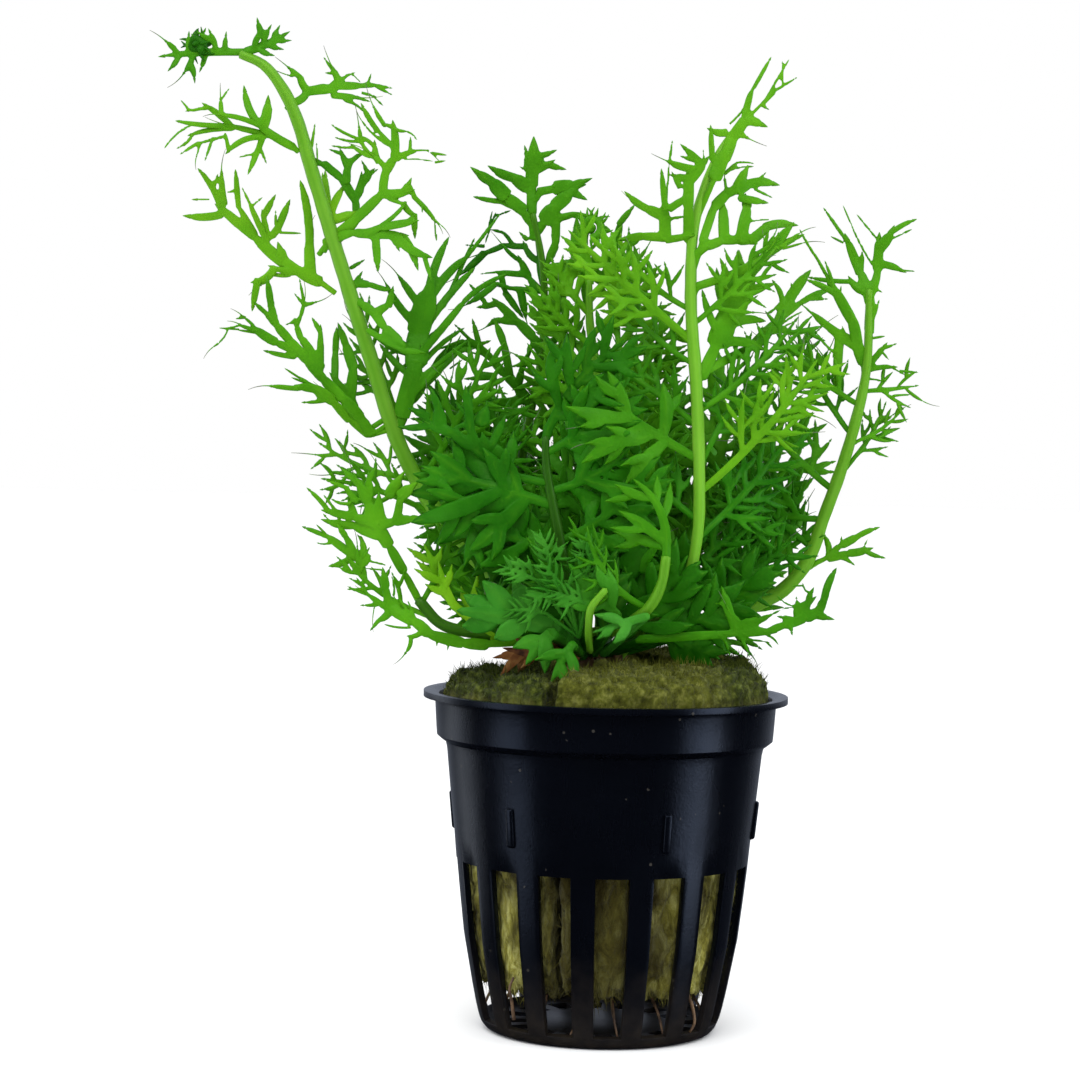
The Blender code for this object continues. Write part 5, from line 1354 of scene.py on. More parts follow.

# Young frond behind the middle: its leaflets are still soft and light, and its tip is a fuzzy coil.

curled = Frond("leaves_curled", tone=0.74, hairs=0.05, voxel=0.24)
curled.stalk("stem_curled", [
    (-0.4, 58.4, 3.5, 0.8), (-0.3, 69.1, 7, 0.8), (0.3, 82.4, 7, 0.75), (-0.6, 95.8, 5, 0.7),
    (-1.8, 104.6, 4, 0.6), (-1.9, 110.5, 3, 0.5)], stalk_green, ["stalk_curled"], 0.6, sides=10)
leaf = curled.leaf
leaf((-1.9, 111.4), 95, 6.4, 20, -0.1, [
    (0.05, 62, 3.6), (0.35, 55, 3.0), (0.65, 50, 2.4), (0.02, -48, 5.6, [(0.5, 35, 3.0)]), (0.5, -60, 2.6),
    (0.8, -45, 2.0)], depth=3.0, rib=0.9, lobe=0.6, root=(-1.9, 109.8, 3.0))
for step, (high, right_turn, left_turn, reach) in enumerate([
        (107.5, 52, 132, 8.0), (102.6, 42, 140, 10.5), (97.4, 46, 136, 12.5), (91.8, 40, 142, 14.0),
        (86.0, 48, 134, 15.0), (80.0, 40, 144, 15.0), (73.6, 46, 136, 15.0)]):
    shade = 0.8 - 0.05 * step
    pairs = 4 if reach > 9 else 3
    leaf((-0.8, high), right_turn, reach, 16, -0.3 + 0.1 * (step % 3), comb(pairs, 48, 0.42 * reach + 0.6),
         rib=0.75, lobe=0.85, tone=shade)
    leaf((-0.8, high - 2.0), left_turn, reach * 0.92, -18, 0.1 - 0.2 * (step % 2),
         comb(4, 48, 0.40 * reach + 0.6), rib=0.75, lobe=0.85, tone=shade - 0.04)
curled.coil((-1.6, 118.4), 2.6, 1.7, 1.3, -90, 0.7, 0.62, 22)
curled.piece(leaf_green, "leaf_curled_top")

# Centre right frond: the tallest of those in front, on a pale straight stalk that carries leaflets on both
# sides. They reach from just above the wool to the forked tip.

centre_right = Frond("leaves_centre_right", tone=0.78, hairs=0.1)
centre_right.stalk("stem_centre_right", [
    (5.2, 58.2, -3.0, 0.9), (9.5, 61.2, -5.5, 0.85), (12.6, 66.0, -8, 0.8), (14.2, 73.3, -9, 0.82),
    (14.4, 81.0, -9, 0.88), (14.0, 94.0, -9, 0.92), (13.1, 109.4, -8, 0.85), (13.5, 118.0, -7.5, 0.75),
    (14.8, 123.4, -7, 0.65), (16.9, 128.6, -6.5, 0.55), (20.6, 134.2, -6, 0.4)],
    stalk_green, ["stalk_centre_right"], 0.8)
leaf = centre_right.leaf
centre_right.traced((13.6, 118.6, -7.4), 0.1, [
    (165, 1254, 180, 1293, 173), (180, 1283, 194, 1320, 153), (192, 1315, 212, 1342, 138),
    (209, 1340, 220, 1383, 94, 2), (223, 1387, 246, 1428, 59), (187, 1334, 223, 1389, 39, -8),
    (218, 1347, 236, 1365, 49), (235, 1363, 256, 1384, 64), (239, 1368, 273, 1426, 42),
    (256, 1384, 284, 1401, 42), (265, 1394, 265, 1423, 37), (236, 1361, 243, 1357, 44),
    (210, 1340, 234, 1334, 123, 5), (196, 1323, 212, 1315, 84), (185, 1323, 162, 1325, 104, 12),
    (162, 1281, 160, 1326, 79), (180, 1283, 194, 1297, 59)], tone=0.74)
centre_right.traced((13.2, 112.0, -7.9), -0.2, [
    (128, 1162, 127, 1219, 133), (127, 1214, 128, 1258, 133), (128, 1251, 150, 1278, 138),
    (150, 1273, 123, 1298, 99), (135, 1281, 120, 1286, 59), (150, 1278, 149, 1294, 37),
    (140, 1268, 101, 1278, 104, 5), (99, 1279, 103, 1307, 44), (127, 1254, 108, 1258, 99),
    (115, 1241, 106, 1258, 74), (93, 1209, 88, 1261, 84), (94, 1212, 99, 1281, 39),
    (94, 1164, 91, 1212, 143), (91, 1199, 64, 1212, 133), (69, 1209, 40, 1229, 99, 5),
    (93, 1168, 56, 1170, 118), (59, 1170, 34, 1166, 113), (98, 1209, 123, 1226, 99),
    (103, 1196, 123, 1199, 49), (94, 1164, 128, 1170, 99)], tone=0.74, hairs=0.05)
centre_right.traced((13.2, 111.0, -8.0), 0.3, [
    (148, 1162, 167, 1219, 113), (166, 1214, 187, 1236, 133), (185, 1233, 199, 1239, 118),
    (194, 1234, 212, 1267, 118), (199, 1236, 219, 1249, 138), (214, 1246, 251, 1247, 118, 8),
    (229, 1251, 239, 1261, 39), (224, 1239, 247, 1228, 44), (202, 1226, 236, 1220, 104),
    (180, 1261, 199, 1278, 59), (197, 1278, 220, 1277, 39, 5), (187, 1266, 220, 1272, 35, 5),
    (183, 1236, 180, 1258, 49), (180, 1162, 178, 1214, 133), (204, 1162, 214, 1214, 148),
    (214, 1212, 212, 1224, 123), (219, 1162, 244, 1184, 128), (239, 1182, 277, 1187, 118, 8),
    (134, 1140, 157, 1157, 109), (156, 1155, 180, 1165, 123), (178, 1164, 204, 1164, 123),
    (203, 1162, 224, 1164, 109), (219, 1192, 244, 1194, 35)], tone=0.72, hairs=0.05)
leaf((11.6, 101.0), 138, 21.4, 0, -0.25, [
    (0.2, 40, 8.0), (0.4, -42, 6.0), (0.55, 38, 5.5), (0.7, -45, 5.5), (0.84, 38, 3.4)], rib=0.85, lobe=0.8)
centre_right.traced((13.3, 107.4, -8.2), 0.1, [
    (140, 1096, 185, 1110, 109), (183, 1109, 231, 1133, 109), (254, 1152, 89), (293, 1175, 44),
    (249, 1152, 259, 1173, 37), (266, 1151, 294, 1159, 32), (241, 1143, 239, 1160, 54),
    (259, 1150, 283, 1167, 30), (170, 1106, 185, 1091, 74), (204, 1120, 219, 1108, 74),
    (185, 1110, 177, 1130, 84)], tone=0.74, hairs=0.3)
centre_right.traced((14.1, 95.6, -9.0), 0.3, [
    (148, 969, 224, 1009, 113), (261, 1046, 138), (259, 1041, 276, 1076, 128, 2),
    (266, 1066, 254, 1101, 74, -10), (273, 1071, 301, 1112, 133, 3), (281, 1091, 279, 1099, 32),
    (261, 1046, 298, 1076, 84), (296, 1073, 333, 1090, 84, 5), (234, 1029, 263, 1032, 113),
    (261, 1033, 291, 1027, 84, -5), (266, 1041, 292, 1057, 39, 3), (266, 1036, 285, 1044, 35),
    (244, 1056, 259, 1069, 44, -10), (308, 1076, 329, 1077, 49)], tone=0.7)
centre_right.traced((14.0, 95.0, -9.0), 0.1, [
    (147, 962, 170, 1012, 150), (170, 1009, 189, 1062, 250), (189, 1056, 216, 1118, 300, 3),
    (178, 1018, 150, 1081, 100, 5), (188, 1049, 170, 1112, 112, 5), (194, 1074, 241, 1096, 138, 5),
    (185, 1037, 232, 1046, 125, 10), (178, 1012, 232, 1006, 125, 10), (207, 1099, 203, 1137, 125),
    (213, 1112, 238, 1137, 150), (232, 1131, 288, 1168, 100, 5), (238, 1137, 275, 1181, 125)], tone=0.66)
leaf((14.3, 84.0), 150, 14.5, -8, -0.35, [
    (0.3, -60, 7.0, [(0.55, -40, 2.8)]), (0.5, 55, 9.0, 14, [(0.4, 30, 4.0), (0.55, -26, 3.4)]),
    (0.25, 72, 7.4, 12, [(0.45, -28, 3.4)]), (0.68, 28, 8.0, [(0.45, 28, 3.4)]), (0.72, -30, 6.0)],
    rib=0.9, lobe=1.4, fine=0.3, tone=0.5, blunt=0.4)
leaf((14.4, 79.2), 38, 23.4, 22, -0.2, [
    (0.26, 46, 7.6), (0.44, 46, 7.0), (0.36, -32, 6.0), (0.6, -36, 5.0), (0.64, 36, 5.4), (0.8, -32, 4.0)],
    rib=0.8, lobe=0.7)
for foot, heading, reach, bend, lean, teeth, rib, lobe, tone in [
        ((13.1, 106.0), 152, 12.5, -30, 0.3, (3, 46, 5.4), 0.6, 0.65, 0.62),
        ((13.4, 104.0), 38, 16.0, 14, -0.15, (4, 46, 6.2), 0.6, 0.65, 0.68),
        ((13.8, 98.0), 150, 13.0, -26, 0.35, (3, 46, 5.6), 0.6, 0.65, 0.5),
        ((14.1, 91.0), 34, 18.0, 20, 0.1, (4, 48, 7.0, 1), 0.65, 0.65, 0.55),
        ((14.2, 89.0), 140, 15.5, 12, 0.2, (4, 48, 6.4, 1), 0.65, 0.7, 0.45),
        ((14.4, 83.0), 62, 16.0, -20, 0.4, (4, 48, 6.2), 0.65, 0.7, 0.4),
        ((14.3, 75.0), 142, 14.0, -10, 0.3, (4, 48, 6.2, 1), 0.7, 0.75, 0.32),
        ((14.1, 72.0), 44, 17.0, 10, 0.3, (4, 48, 7.0, 1), 0.7, 0.75, 0.3)]:
    leaf(foot, heading, reach, bend, lean, comb(*teeth), rib=rib, lobe=lobe, tone=tone)
centre_right.piece(leaf_green, "leaf_centre_right_top",
                   *[f"leaf_centre_right_{place}" for place in range(1, 9)])

# Right frond: a long stalk that leans out over the lip, then stands up and forks at its top.
# Its leaflets are narrow and stand far apart.

right = Frond("leaves_right", tone=0.7, hairs=0.25)
right.stalk("stem_right", [
    (3.4, 57.8, 1.2, 1.05), (10.0, 58.2, 3, 1.1), (16.7, 59.5, 4, 1.1), (22.8, 62.6, 4.5, 1.1),
    (26.5, 64.5, 4.5, 1.1), (29.8, 68.1, 4.5, 1.05), (33.0, 76.0, 4, 0.95), (36.9, 87.6, 2, 0.85),
    (38.9, 96.4, 1, 0.7), (39.4, 109.0, 1, 0.5)], stalk_green, ["stalk_right"], 0.68)
leaf = right.leaf
right.traced((39.0, 99.0, 1.0), -0.1, [
    (394, 1027, 395, 1076, 123), (395, 1071, 380, 1118, 133, -3), (380, 1115, 362, 1162, 118),
    (362, 1160, 329, 1207, 54), (382, 1120, 383, 1144, 69), (355, 1160, 339, 1168, 30),
    (392, 1076, 407, 1125, 109, -5), (406, 1120, 408, 1165, 123), (407, 1150, 424, 1173, 133, -5),
    (423, 1172, 457, 1192, 74, 5), (426, 1165, 453, 1178, 35), (406, 1164, 377, 1199, 37),
    (400, 1125, 365, 1192, 37, 3), (365, 1191, 356, 1212, 27), (407, 1129, 439, 1120, 99, 5),
    (436, 1120, 457, 1118, 39), (386, 1088, 368, 1103, 104, 10), (370, 1103, 310, 1108, 69, 3),
    (402, 1093, 409, 1089, 49), (400, 1050, 407, 1071, 54), (397, 1019, 415, 1022, 32)], tone=0.7, hairs=0.0)
right.traced((38.7, 95.5, 1.0), -0.25, [
    (386, 982, 372, 1022, 143), (376, 1012, 368, 1051, 143, -2), (368, 1046, 342, 1093, 133),
    (342, 1091, 333, 1106, 94), (337, 1101, 315, 1140, 54), (318, 1135, 293, 1176, 44, 2),
    (340, 1103, 330, 1129, 49), (368, 1051, 352, 1093, 37, 15), (342, 1086, 308, 1103, 84, -3),
    (374, 1009, 342, 1027, 138, -3), (352, 1025, 313, 1054, 99, 3), (315, 1051, 296, 1068, 39),
    (350, 1019, 346, 955, 118), (345, 996, 316, 1028, 44, 5),
    (362, 1019, 355, 1035, 32)], tone=0.68, hairs=0.0)
right.traced((38.7, 95.0, 1.0), 0.2, [
    (392, 977, 416, 1007, 84), (407, 1001, 431, 1010, 49), (415, 997, 421, 990, 32),
    (392, 972, 429, 977, 74, 5), (426, 977, 444, 967, 35), (439, 971, 463, 969, 32),
    (392, 960, 416, 956, 39)], tone=0.66, hairs=0.0)
leaf((38.7, 94.0), 6, 6.6, 0, 0.3, [(0.15, 44, 3.2), (0.25, -38, 4.6)], rib=0.5, lobe=0.5)
right.traced((30.0, 68.4, 4.5), 0.2, [
    (303, 678, 335, 695, 74, 5), (355, 715, 89, 5), (355, 714, 379, 727, 109), (377, 726, 403, 738, 79, 4),
    (353, 715, 354, 724, 35), (335, 694, 367, 702, 109), (365, 702, 392, 707, 109, -4),
    (389, 706, 413, 696, 69, -6), (386, 708, 391, 719, 35), (355, 695, 370, 687, 59, 5),
    (335, 696, 329, 727, 84, -10)], tone=0.72, hairs=0.0)
for foot, heading, reach, bend, lean, teeth, rib, lobe, tone in [
        ((34.2, 79.5), 142, 18.0, -20, 0.2, (4, 52, 7.4, 1), 0.7, 0.75, 0.5),
        ((32.6, 75.2), 176, 14.4, -22, 0.16, (3, 50, 6.4), 0.7, 0.75, 0.4),
        ((24.6, 63.6), 118, 15.0, 14, 0.12, (3, 52, 6.4), 0.7, 0.75, 0.4),
        ((38.5, 92.0), 152, 14.0, -30, -0.1, (4, 46, 5.8), 0.6, 0.6, 0.6),
        ((37.0, 87.6), 128, 15.0, -12, 0.3, (4, 46, 5.8), 0.6, 0.6, 0.5),
        ((36.4, 86.0), 28, 7.5, 16, 0.2, (3, 42, 3.4), 0.45, 0.5, None),
        ((34.6, 81.0), 52, 9.0, 16, 0.2, (3, 44, 4.0), 0.5, 0.55, 0.6),
        ((31.0, 71.0), 140, 15.0, -14, 0.2, (4, 48, 6.2, 1), 0.65, 0.7, 0.38),
        ((28.0, 66.2), 92, 14.0, 10, 0.3, (4, 48, 5.8), 0.65, 0.7, 0.4),
        ((18.0, 60.0), 72, 16.0, 10, -0.1, (4, 50, 6.6, 1), 0.7, 0.75, 0.3)]:
    leaf(foot, heading, reach, bend, lean, comb(*teeth), rib=rib, lobe=lobe, tone=tone)
right.piece(leaf_green, "leaf_right_top", *[f"leaf_right_{place}" for place in range(1, 8)])

# Low right frond: a dark leaf just over the lip, with its far end turned up.
# Two more grow behind it from the same side of the rootstock.

low_right = Frond("leaves_low_right", tone=0.38, hairs=0.05, voxel=0.24)
low_right.traced((5.0, 57.0, -9.0), -0.22, [
    (56, 574, 206, 583, 120), (204, 583, 249, 586, 113), (273, 596, 104, 4), (271, 596, 303, 606, 123, -2),
    (321, 616, 138), (321, 615, 329, 634, 113), (329, 632, 343, 673, 104, 5), (318, 610, 334, 606, 99),
    (279, 597, 281, 585, 64), (283, 604, 266, 607, 74), (293, 607, 291, 622, 148),
    (293, 617, 307, 629, 128), (307, 627, 310, 644, 89, 10), (310, 643, 298, 654, 39, 20), (283, 653, 22),
    (289, 622, 288, 634, 49), (293, 620, 261, 616, 35, -10), (236, 602, 39), (291, 622, 261, 637, 35, 10),
    (204, 578, 217, 553, 54, 5), (175, 579, 188, 555, 49, 10), (212, 575, 244, 570, 44), (251, 563, 30),
    (245, 580, 260, 568, 30, 10), (203, 585, 191, 610, 148), (191, 607, 180, 642, 123),
    (182, 627, 171, 627, 49), (202, 588, 224, 602, 148), (224, 597, 249, 610, 84)], tone=0.48)
low_right.leaf((8.0, 59.6), 24, 24.0, 16, 0.1, comb(5, 48, 7.0, own=1), depth=-4.0, rib=0.7, lobe=0.7,
               tone=0.3, root=(1.0, 55.5, -1.5))
low_right.leaf((5.0, 60.0), 46, 24.0, -10, 0.0, comb(5, 48, 7.4, own=2), depth=-5.0, rib=0.8, lobe=0.8,
               tone=0.24, root=(0.6, 55.5, -2.0))
low_right.piece(leaf_green, "leaf_low_right")

# Front frond: a short young frond whose lobes are broad, soft and pale green.
# It stands nearest to the eye.

front = Frond("leaves_front", tone=0.5, hairs=0.0)
front.stalk("stem_front", [
    (-1.6, 58.2, -6.0, 0.75), (1.9, 58.6, -9, 0.8), (4.4, 60.0, -12, 0.8), (7.4, 62.6, -14.5, 0.8),
    (8.9, 65.8, -15.5, 0.75), (9.5, 69.6, -16, 0.7)], stalk_green, ["stalk_front"], 0.6, sides=10)
front.leaf((9.6, 70.6), 92, 11.0, 42, -0.05, [
    (0.06, 36, 7.6, 25), (0.02, 64, 7.0, 10), (0.4, -32, 4.4), (0.62, -30, 3.4)], depth=-16.0, rib=0.95,
    lobe=1.1, root=(9.45, 69.2, -16.0), fine=0.3, blunt=0.3)
front.leaf((6.6, 62.0), 150, 13.5, -50, -0.3, [
    (0.2, 40, 4.0), (0.4, 45, 4.0), (0.62, 42, 3.4), (0.3, -40, 4.0), (0.55, -40, 3.4)], lobe=0.5)
front.piece(leaf_green, "leaf_front_top", "leaf_front_1")

# Heart of the plant: a short frond with broad lobes, in front of the stalks. Its dark green is partly its own
# colour and partly painted shade.
# Its leaflets are blunter than those higher up, and overlap.

heart = Frond("leaves_heart", tone=0.25, hairs=0.0, voxel=0.24)
heart.stalk("stem_heart", [
    (-4.6, 57.8, -4.5, 0.8), (-4.8, 64.0, -8, 0.8), (-6.0, 71.0, -10, 0.75), (-7.4, 78.0, -11, 0.7),
    (-8.3, 84.0, -11, 0.6), (-8.3, 87.4, -11, 0.5)], stalk_green, ["stalk_heart"], 0.05, sides=10)
heart.leaf((-7.4, 77.2), 161, 17.5, 8, -0.1, [
    (0.12, 67, 10.5, -12), (0.25, 56, 12.5, -12), (0.36, 42, 12.6, -10), (0.55, 24, 9.0), (0.2, -50, 8.2, 14),
    (0.42, -36, 8.5, 10), (0.62, -26, 6.0, 8), (0.72, 18, 5.0)], rib=1.1, lobe=1.6, fine=0.4, blunt=0.5)
heart.traced((-8.3, 80.6, -11.0), -0.1, [
    (-148, 819, -166, 839, 148), (-165, 838, -195, 861, 113), (-194, 860, -227, 884, 138),
    (-226, 882, -255, 893, 133, 3), (-253, 892, -293, 888, 99, 5), (-240, 890, -242, 916, 163),
    (-242, 913, -250, 938, 99), (-256, 903, -279, 913, 109), (-166, 839, -176, 874, 123),
    (-185, 856, -195, 886, 123), (-195, 884, -198, 921, 118), (-198, 917, -201, 939, 128),
    (-196, 903, -214, 922, 69), (-203, 893, -220, 886, 64), (-183, 891, -174, 913, 138),
    (-173, 893, -171, 916, 109), (-166, 856, -153, 884, 109),
    (-157, 874, -146, 898, 104)], tone=0.22, rib=0.9, hairs=0.0)
heart.leaf((-8.0, 88.4), 62, 17.0, -25, -0.1, comb(4, 48, 9.0, own=2), depth=-11.0, rib=1.0, lobe=1.15,
           root=(-8.3, 87.0, -11.0), fine=0.5, blunt=0.4)
for foot, heading, reach, bend, shade in [
        ((-5.0, 66.0), 152, 16.0, -24, 0.2), ((-5.2, 67.5), 36, 15.0, 20, 0.24),
        ((-6.2, 72.0), 24, 15.0, 30, 0.26), ((-8.2, 85.0), 28, 13.0, 20, 0.34),
        ((-7.6, 79.4), 14, 13.0, 34, 0.3), ((-6.0, 70.6), 172, 16.0, -30, 0.28)]:
    heart.leaf(foot, heading, reach, bend, -0.05, comb(4, 46, 8.0, own=2), rib=0.85, lobe=1.4, tone=shade,
               fine=0.45, blunt=0.5)
heart.piece(leaf_green, "leaf_heart_1", "leaf_heart_2", "leaf_heart_3")

# Low leaves round the rootstock: short and broad, and so close together that they hide it. Between them
# stand small curly new leaflets, the stub of a cut stalk, and two leaves that have died and lie brown on
# the wool.

low_leaves = Frond("leaves_foot", tone=0.3, hairs=0.0, voxel=INNER_VOXEL)
for foot, heading, reach, bend, depth, shade, bloom, lobes in [
        ((-4.4, 56.6), 236, 6.2, 10, -15.0, 0.42, 0.2, [(0.2, 50, 3.8), (0.25, -48, 3.6), (0.55, 40, 2.6)]),
        ((6.6, 60.8), 202, 7.6, -10, -15.5, 0.5, 0.6, [(0.35, 40, 3.2), (0.45, -36, 3.2), (0.7, 30, 1.8)]),
        ((-2.6, 58.0), 122, 13.0, -20, -9.0, 0.15, 0.0, comb(4, 46, 7.5)),
        ((0.8, 58.2), 76, 14.0, 16, -8.0, 0.18, 0.0, comb(4, 46, 7.5)),
        ((4.0, 58.2), 44, 14.0, 18, -8.5, 0.22, 0.0, comb(4, 46, 7.5)),
        ((7.6, 58.0), 16, 14.0, 10, -8.0, 0.2, 0.0, comb(4, 46, 7.0)),
        ((9.0, 57.6), -12, 8.5, -16, -7.0, 0.16, 0.0, comb(3, 46, 4.6)),
        ((14.0, 58.6), 52, 13.0, -14, -3.0, 0.25, 0.0, comb(4, 46, 7.0)),
        ((-7.0, 57.5), 150, 12.0, 20, -7.0, 0.2, 0.0, comb(3, 46, 6.6)),
        ((-9.5, 57.8), 118, 13.0, -14, -3.0, 0.28, 0.0, comb(4, 46, 7.0)),
        ((2.4, 61.0), 136, 9.0, 22, -14.0, 0.45, 0.25, comb(3, 44, 5.4)),
        ((0.4, 58.6), 100, 11.0, -10, -12.0, 0.1, 0.0, comb(4, 44, 6.4)),
        ((12.0, 59.4), 96, 13.0, 14, -5.0, 0.2, 0.0, comb(4, 46, 7.0)),
        ((-5.0, 59.5), 96, 12.0, 12, -7.0, 0.12, 0.0, comb(4, 46, 6.6))]:
    low_leaves.leaf(foot, heading, reach, bend, -0.08, lobes, depth=depth, rib=0.9, lobe=1.5, tone=shade,
                    fine=0.35, root=(CROWN[0] + 0.3 * foot[0], 55.2, 0.35 * depth), bloom=bloom, blunt=0.5)
low_leaves.piece(leaf_green)
young = Frond("leaves_new", tone=0.45, hairs=0.0)
for foot, heading, reach, depth in [
        ((-9.5, 66.0), 150, 6.0, -14.0), ((-7.6, 67.6), 98, 6.0, -14.5), ((-4.8, 63.6), 122, 7.0, -15.0),
        ((-3.0, 65.4), 66, 6.4, -14.0), ((-8.2, 61.2), 168, 6.0, -14.5), ((-2.4, 62.6), 152, 5.4, -15.5),
        ((-6.0, 65.0), 200, 5.0, -15.0), ((-1.0, 67.6), 110, 5.6, -13.5)]:
    young.leaf(foot, heading, reach, 14, -0.15, comb(4, 48, 3.4), depth=depth, rib=0.42, lobe=0.55, fine=1.3,
               root=(-3.4, 57.6, -11.0), bloom=0.45)
young.piece(leaf_green)
low_leaves.stalk("stem_cut", [(-1.8, 55.6, -11.0, 0.5), (-2.0, 59.0, -14.5, 0.55), (-1.6, 62.0, -16, 0.55),
                              (0.5, 64.7, -16.6, 0.5)], stalk_green, [], 0.72, foot=False, sides=12)

dead = Frond("leaves_dead", tone=0.5, hairs=0.0)
dead.leaf((-9.6, 56.6), 206, 6.6, 30, 0.2, [(0.3, 40, 3.0), (0.5, -40, 2.6)], depth=-11.0, rib=1.2, lobe=1.4,
          root=(-5.0, 55.6, -5.0), cup=0.5, fine=0.3)
dead.leaf((-8.0, 55.6), 190, 5.4, -24, 0.1, [(0.35, 46, 2.4), (0.5, -44, 2.4)], depth=-13.0, rib=1.1,
          lobe=1.3, root=(-4.0, 54.6, -6.0), cup=0.6, fine=0.3)
dead_brown, shader, w = new_material("dead leaf", Roughness=0.75, Specular_IOR_Level=0.2)
where = w.object_place()
withered = w.noise(where, 380.0, detail=5.0)
w.feed(w.ramp(withered, (0.3, (0.035, 0.010, 0.003)), (0.5, (0.16, 0.060, 0.014)),
              (0.75, (0.30, 0.16, 0.045))),
       shader.inputs["Base Color"])
add_bump(w, shader, withered, 0.0003)
dead.piece(dead_brown)

# Inner and far fronds: they fill the plant behind the middle and spread away from the front ones.
# The photograph hides them, so they are built by rule.

inner = Frond("leaves_inner", tone=0.5, hairs=0.02, voxel=INNER_VOXEL)
inner.leaf((4.4, 58.8), 92, 43.0, 6, 0.2, comb(6, 54, 15.0, own=6), depth=6.5, droop=3.0, rib=1.0, lobe=1.1,
           root=(0.5, 55.5, 2.0), fine=0.5)
for foot, heading, reach, bend, depth, shade in [
        ((-4.0, 58.5), 112, 36.0, 14, 8.0, 0.34), ((1.5, 58.5), 82, 40.0, -8, 11.0, 0.32),
        ((8.0, 59.0), 66, 42.0, 14, 9.0, 0.4), ((-8.0, 58.5), 128, 30.0, -18, 5.0, 0.3),
        ((10.0, 59.0), 48, 36.0, 24, 6.0, 0.38), ((0.0, 59.0), 98, 30.0, -12, -6.0, 0.22)]:
    inner.leaf(foot, heading, reach, bend, 0.1, comb(6, 52, 13.0, own=5), depth=depth, droop=3.0, rib=1.0,
               lobe=1.15, root=(CROWN[0] + 0.35 * foot[0], 55.0, 0.3 * depth), tone=shade + 0.18, fine=0.5)
inner.piece(leaf_green, "leaf_inner")

back = Frond("leaves_back", tone=0.5, hairs=0.05, voxel=INNER_VOXEL)
BACK_LOBES = comb(6, 54, 15.0, own=6)
for foot, heading, reach, bend, depth, droop, azimuth, root_depth in [
        ((4.0, 57.6), 54, 40.0, 14, 0.0, -2.0, 160.0, 0.0),
        ((5.6, 57.6), 66, 42.0, -22, 1.0, 4.0, 112.0, 0.5),
        ((8.6, 57.6), 51, 42.0, -10, -2.5, -3.0, 66.0, -1.0),
        ((9.0, 58.6), 42, 32.0, 20, 1.0, 0.0, 26.0, 0.5)]:
    back.leaf(foot, heading, reach, bend, 0.0, BACK_LOBES, depth=depth, droop=droop, rib=1.0, lobe=1.0,
              fine=0.7, place=round_the_back(azimuth), root=(1.0, 54.8, root_depth))
back.piece(leaf_green, "leaf_back_left", "leaf_back_middle", "leaf_back_right", "leaf_back_low")

# Studio: a wide pale floor in a pale room, three soft boxes beside the plant and one above it, and the camera
# where the photograph was taken from.

for thing in bpy.context.view_layer.objects:
    thing.select_set(False)
bpy.ops.mesh.primitive_circle_add(vertices=96, radius=4.0, fill_type="NGON")
floor = bpy.context.object
floor.name = "studio_floor"
pale, shader, w = new_material("pale floor", Roughness=0.9, Specular_IOR_Level=0.1)
w.feed(w.ramp(w.noise(w.object_place(), 6.0), (0.0, (0.93, 0.93, 0.93)), (1.0, (0.96, 0.96, 0.96))),
       shader.inputs["Base Color"])
floor.data.materials.append(pale)
floor.visible_glossy = False

world = bpy.data.worlds.new("studio")
bpy.context.scene.world = world
world.use_nodes = True
background = world.node_tree.nodes["Background"]
w = Wiring(world.node_tree)
path = w.node("LightPath")
way = w.node("SeparateXYZ")
w.feed(w.node("TexCoord").outputs["Generated"], way.inputs[0])
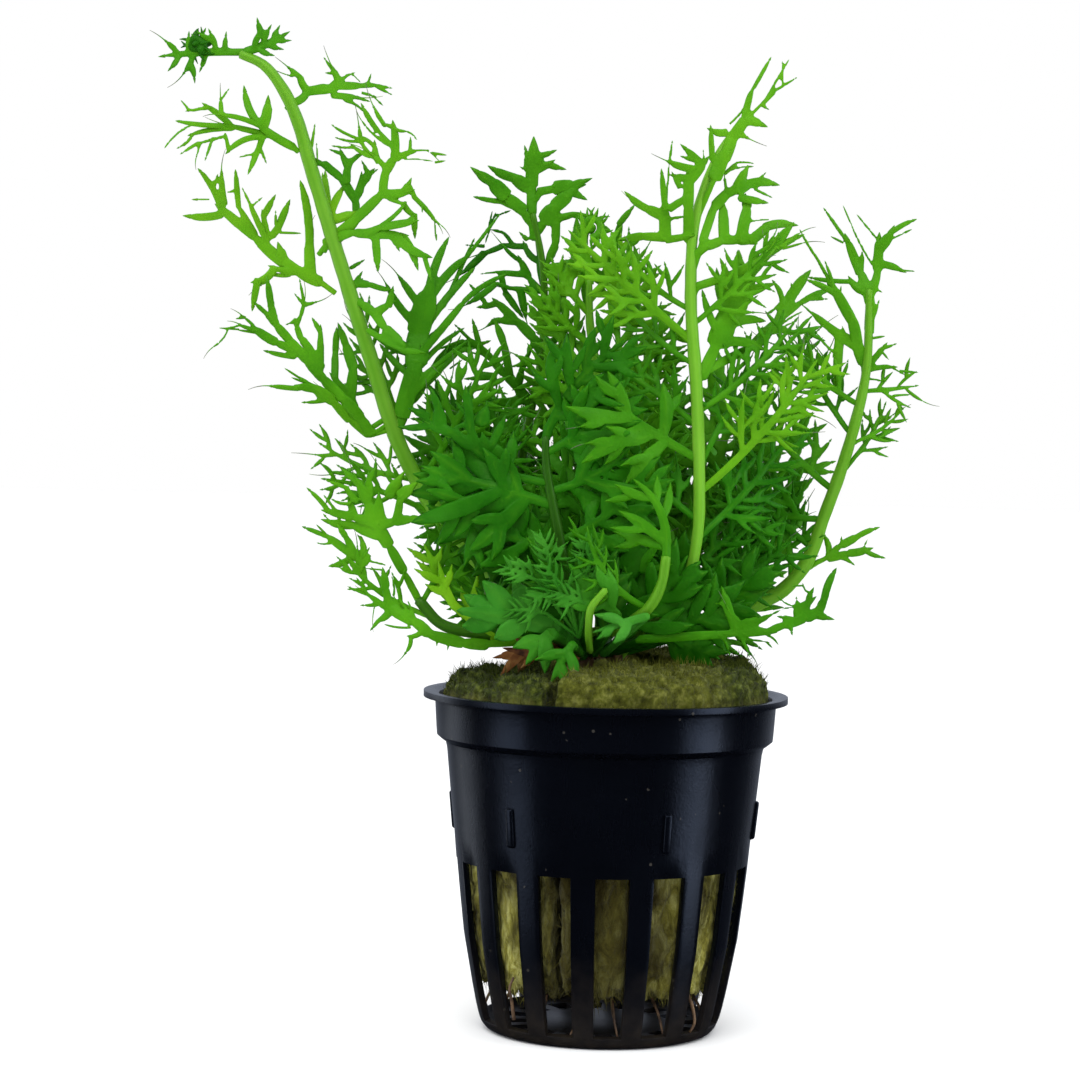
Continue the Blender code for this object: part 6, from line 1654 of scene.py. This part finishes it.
# The room in front of the plant is dim, so that the middle of the pot stays black, and the studio is pale
# all round
front_to_back = w.math("ADD", w.math("MULTIPLY", way.outputs["Y"], 0.5),
                       w.math("MULTIPLY", way.outputs["Z"], 0.8))
lighting = w.ramp(front_to_back, (0.0, (0.66, 0.67, 0.70)), (0.35, (1.0, 1.0, 1.0)))
gloss = w.ramp(front_to_back, (0.0, (0.010, 0.012, 0.020)), (0.2, (0.05, 0.06, 0.08)),
               (0.6, (0.42, 0.46, 0.55)))
seen_light = w.mix(path.outputs["Is Glossy Ray"], lighting, gloss)
w.feed(w.mix(path.outputs["Is Camera Ray"], seen_light, (1.0, 1.0, 1.0)), background.inputs["Color"])
w.feed(w.ramp(path.outputs["Is Camera Ray"], (0.0, 1.18), (1.0, 1.0)), background.inputs["Strength"])


def soft_box(name, place, aim, width, height, power, colour=(1, 1, 1)):
    lamp = bpy.data.lights.new(name, "AREA")
    lamp.shape = "RECTANGLE"
    lamp.size, lamp.size_y = width, height
    lamp.energy = power
    lamp.color = colour
    made = bpy.data.objects.new(name, lamp)
    made.location = place
    made.rotation_euler = (Vector(aim) - Vector(place)).to_track_quat("-Z", "Y").to_euler()
    made.visible_camera = False
    bpy.context.scene.collection.objects.link(made)


soft_box("left soft box", (-0.6, -0.24, 0.16), (0, 0, 0.05), 0.3, 0.8, 1.2, (0.9, 0.95, 1.0))
soft_box("left soft box behind", (-0.5, 0.30, 0.14), (0, 0, 0.04), 0.3, 0.6, 0.5, (0.9, 0.95, 1.0))
soft_box("right soft box", (0.6, -0.2, 0.16), (0, 0, 0.05), 0.3, 0.8, 2.5, (0.9, 0.95, 1.0))
soft_box("top soft box", (-0.1, -0.45, 0.60), (0, 0, 0.08), 0.5, 0.4, 2.6)

eye = Vector((EYE_X, -EYE_DISTANCE, EYE_Z)) * MM
AIM, LENS = (-10.23, 0.0, 72.4), 98.13
aim = Vector(AIM) * MM
camera = bpy.data.cameras.new("camera")
camera.sensor_width = 36.0
camera.lens = LENS
camera.clip_start, camera.clip_end = 0.01, 10.0
photographer = bpy.data.objects.new("camera", camera)
ahead = (aim - eye).normalized()
right_hand = ahead.cross(Vector((-math.sin(SHEET_TURN), 0, math.cos(SHEET_TURN)))).normalized()
up_hand = right_hand.cross(ahead)
turned = Matrix((right_hand, up_hand, -ahead)).transposed().to_4x4()
photographer.matrix_world = Matrix.Translation(eye) @ turned
bpy.context.scene.collection.objects.link(photographer)
bpy.context.scene.camera = photographer
bpy.context.scene.view_settings.view_transform = "Standard"
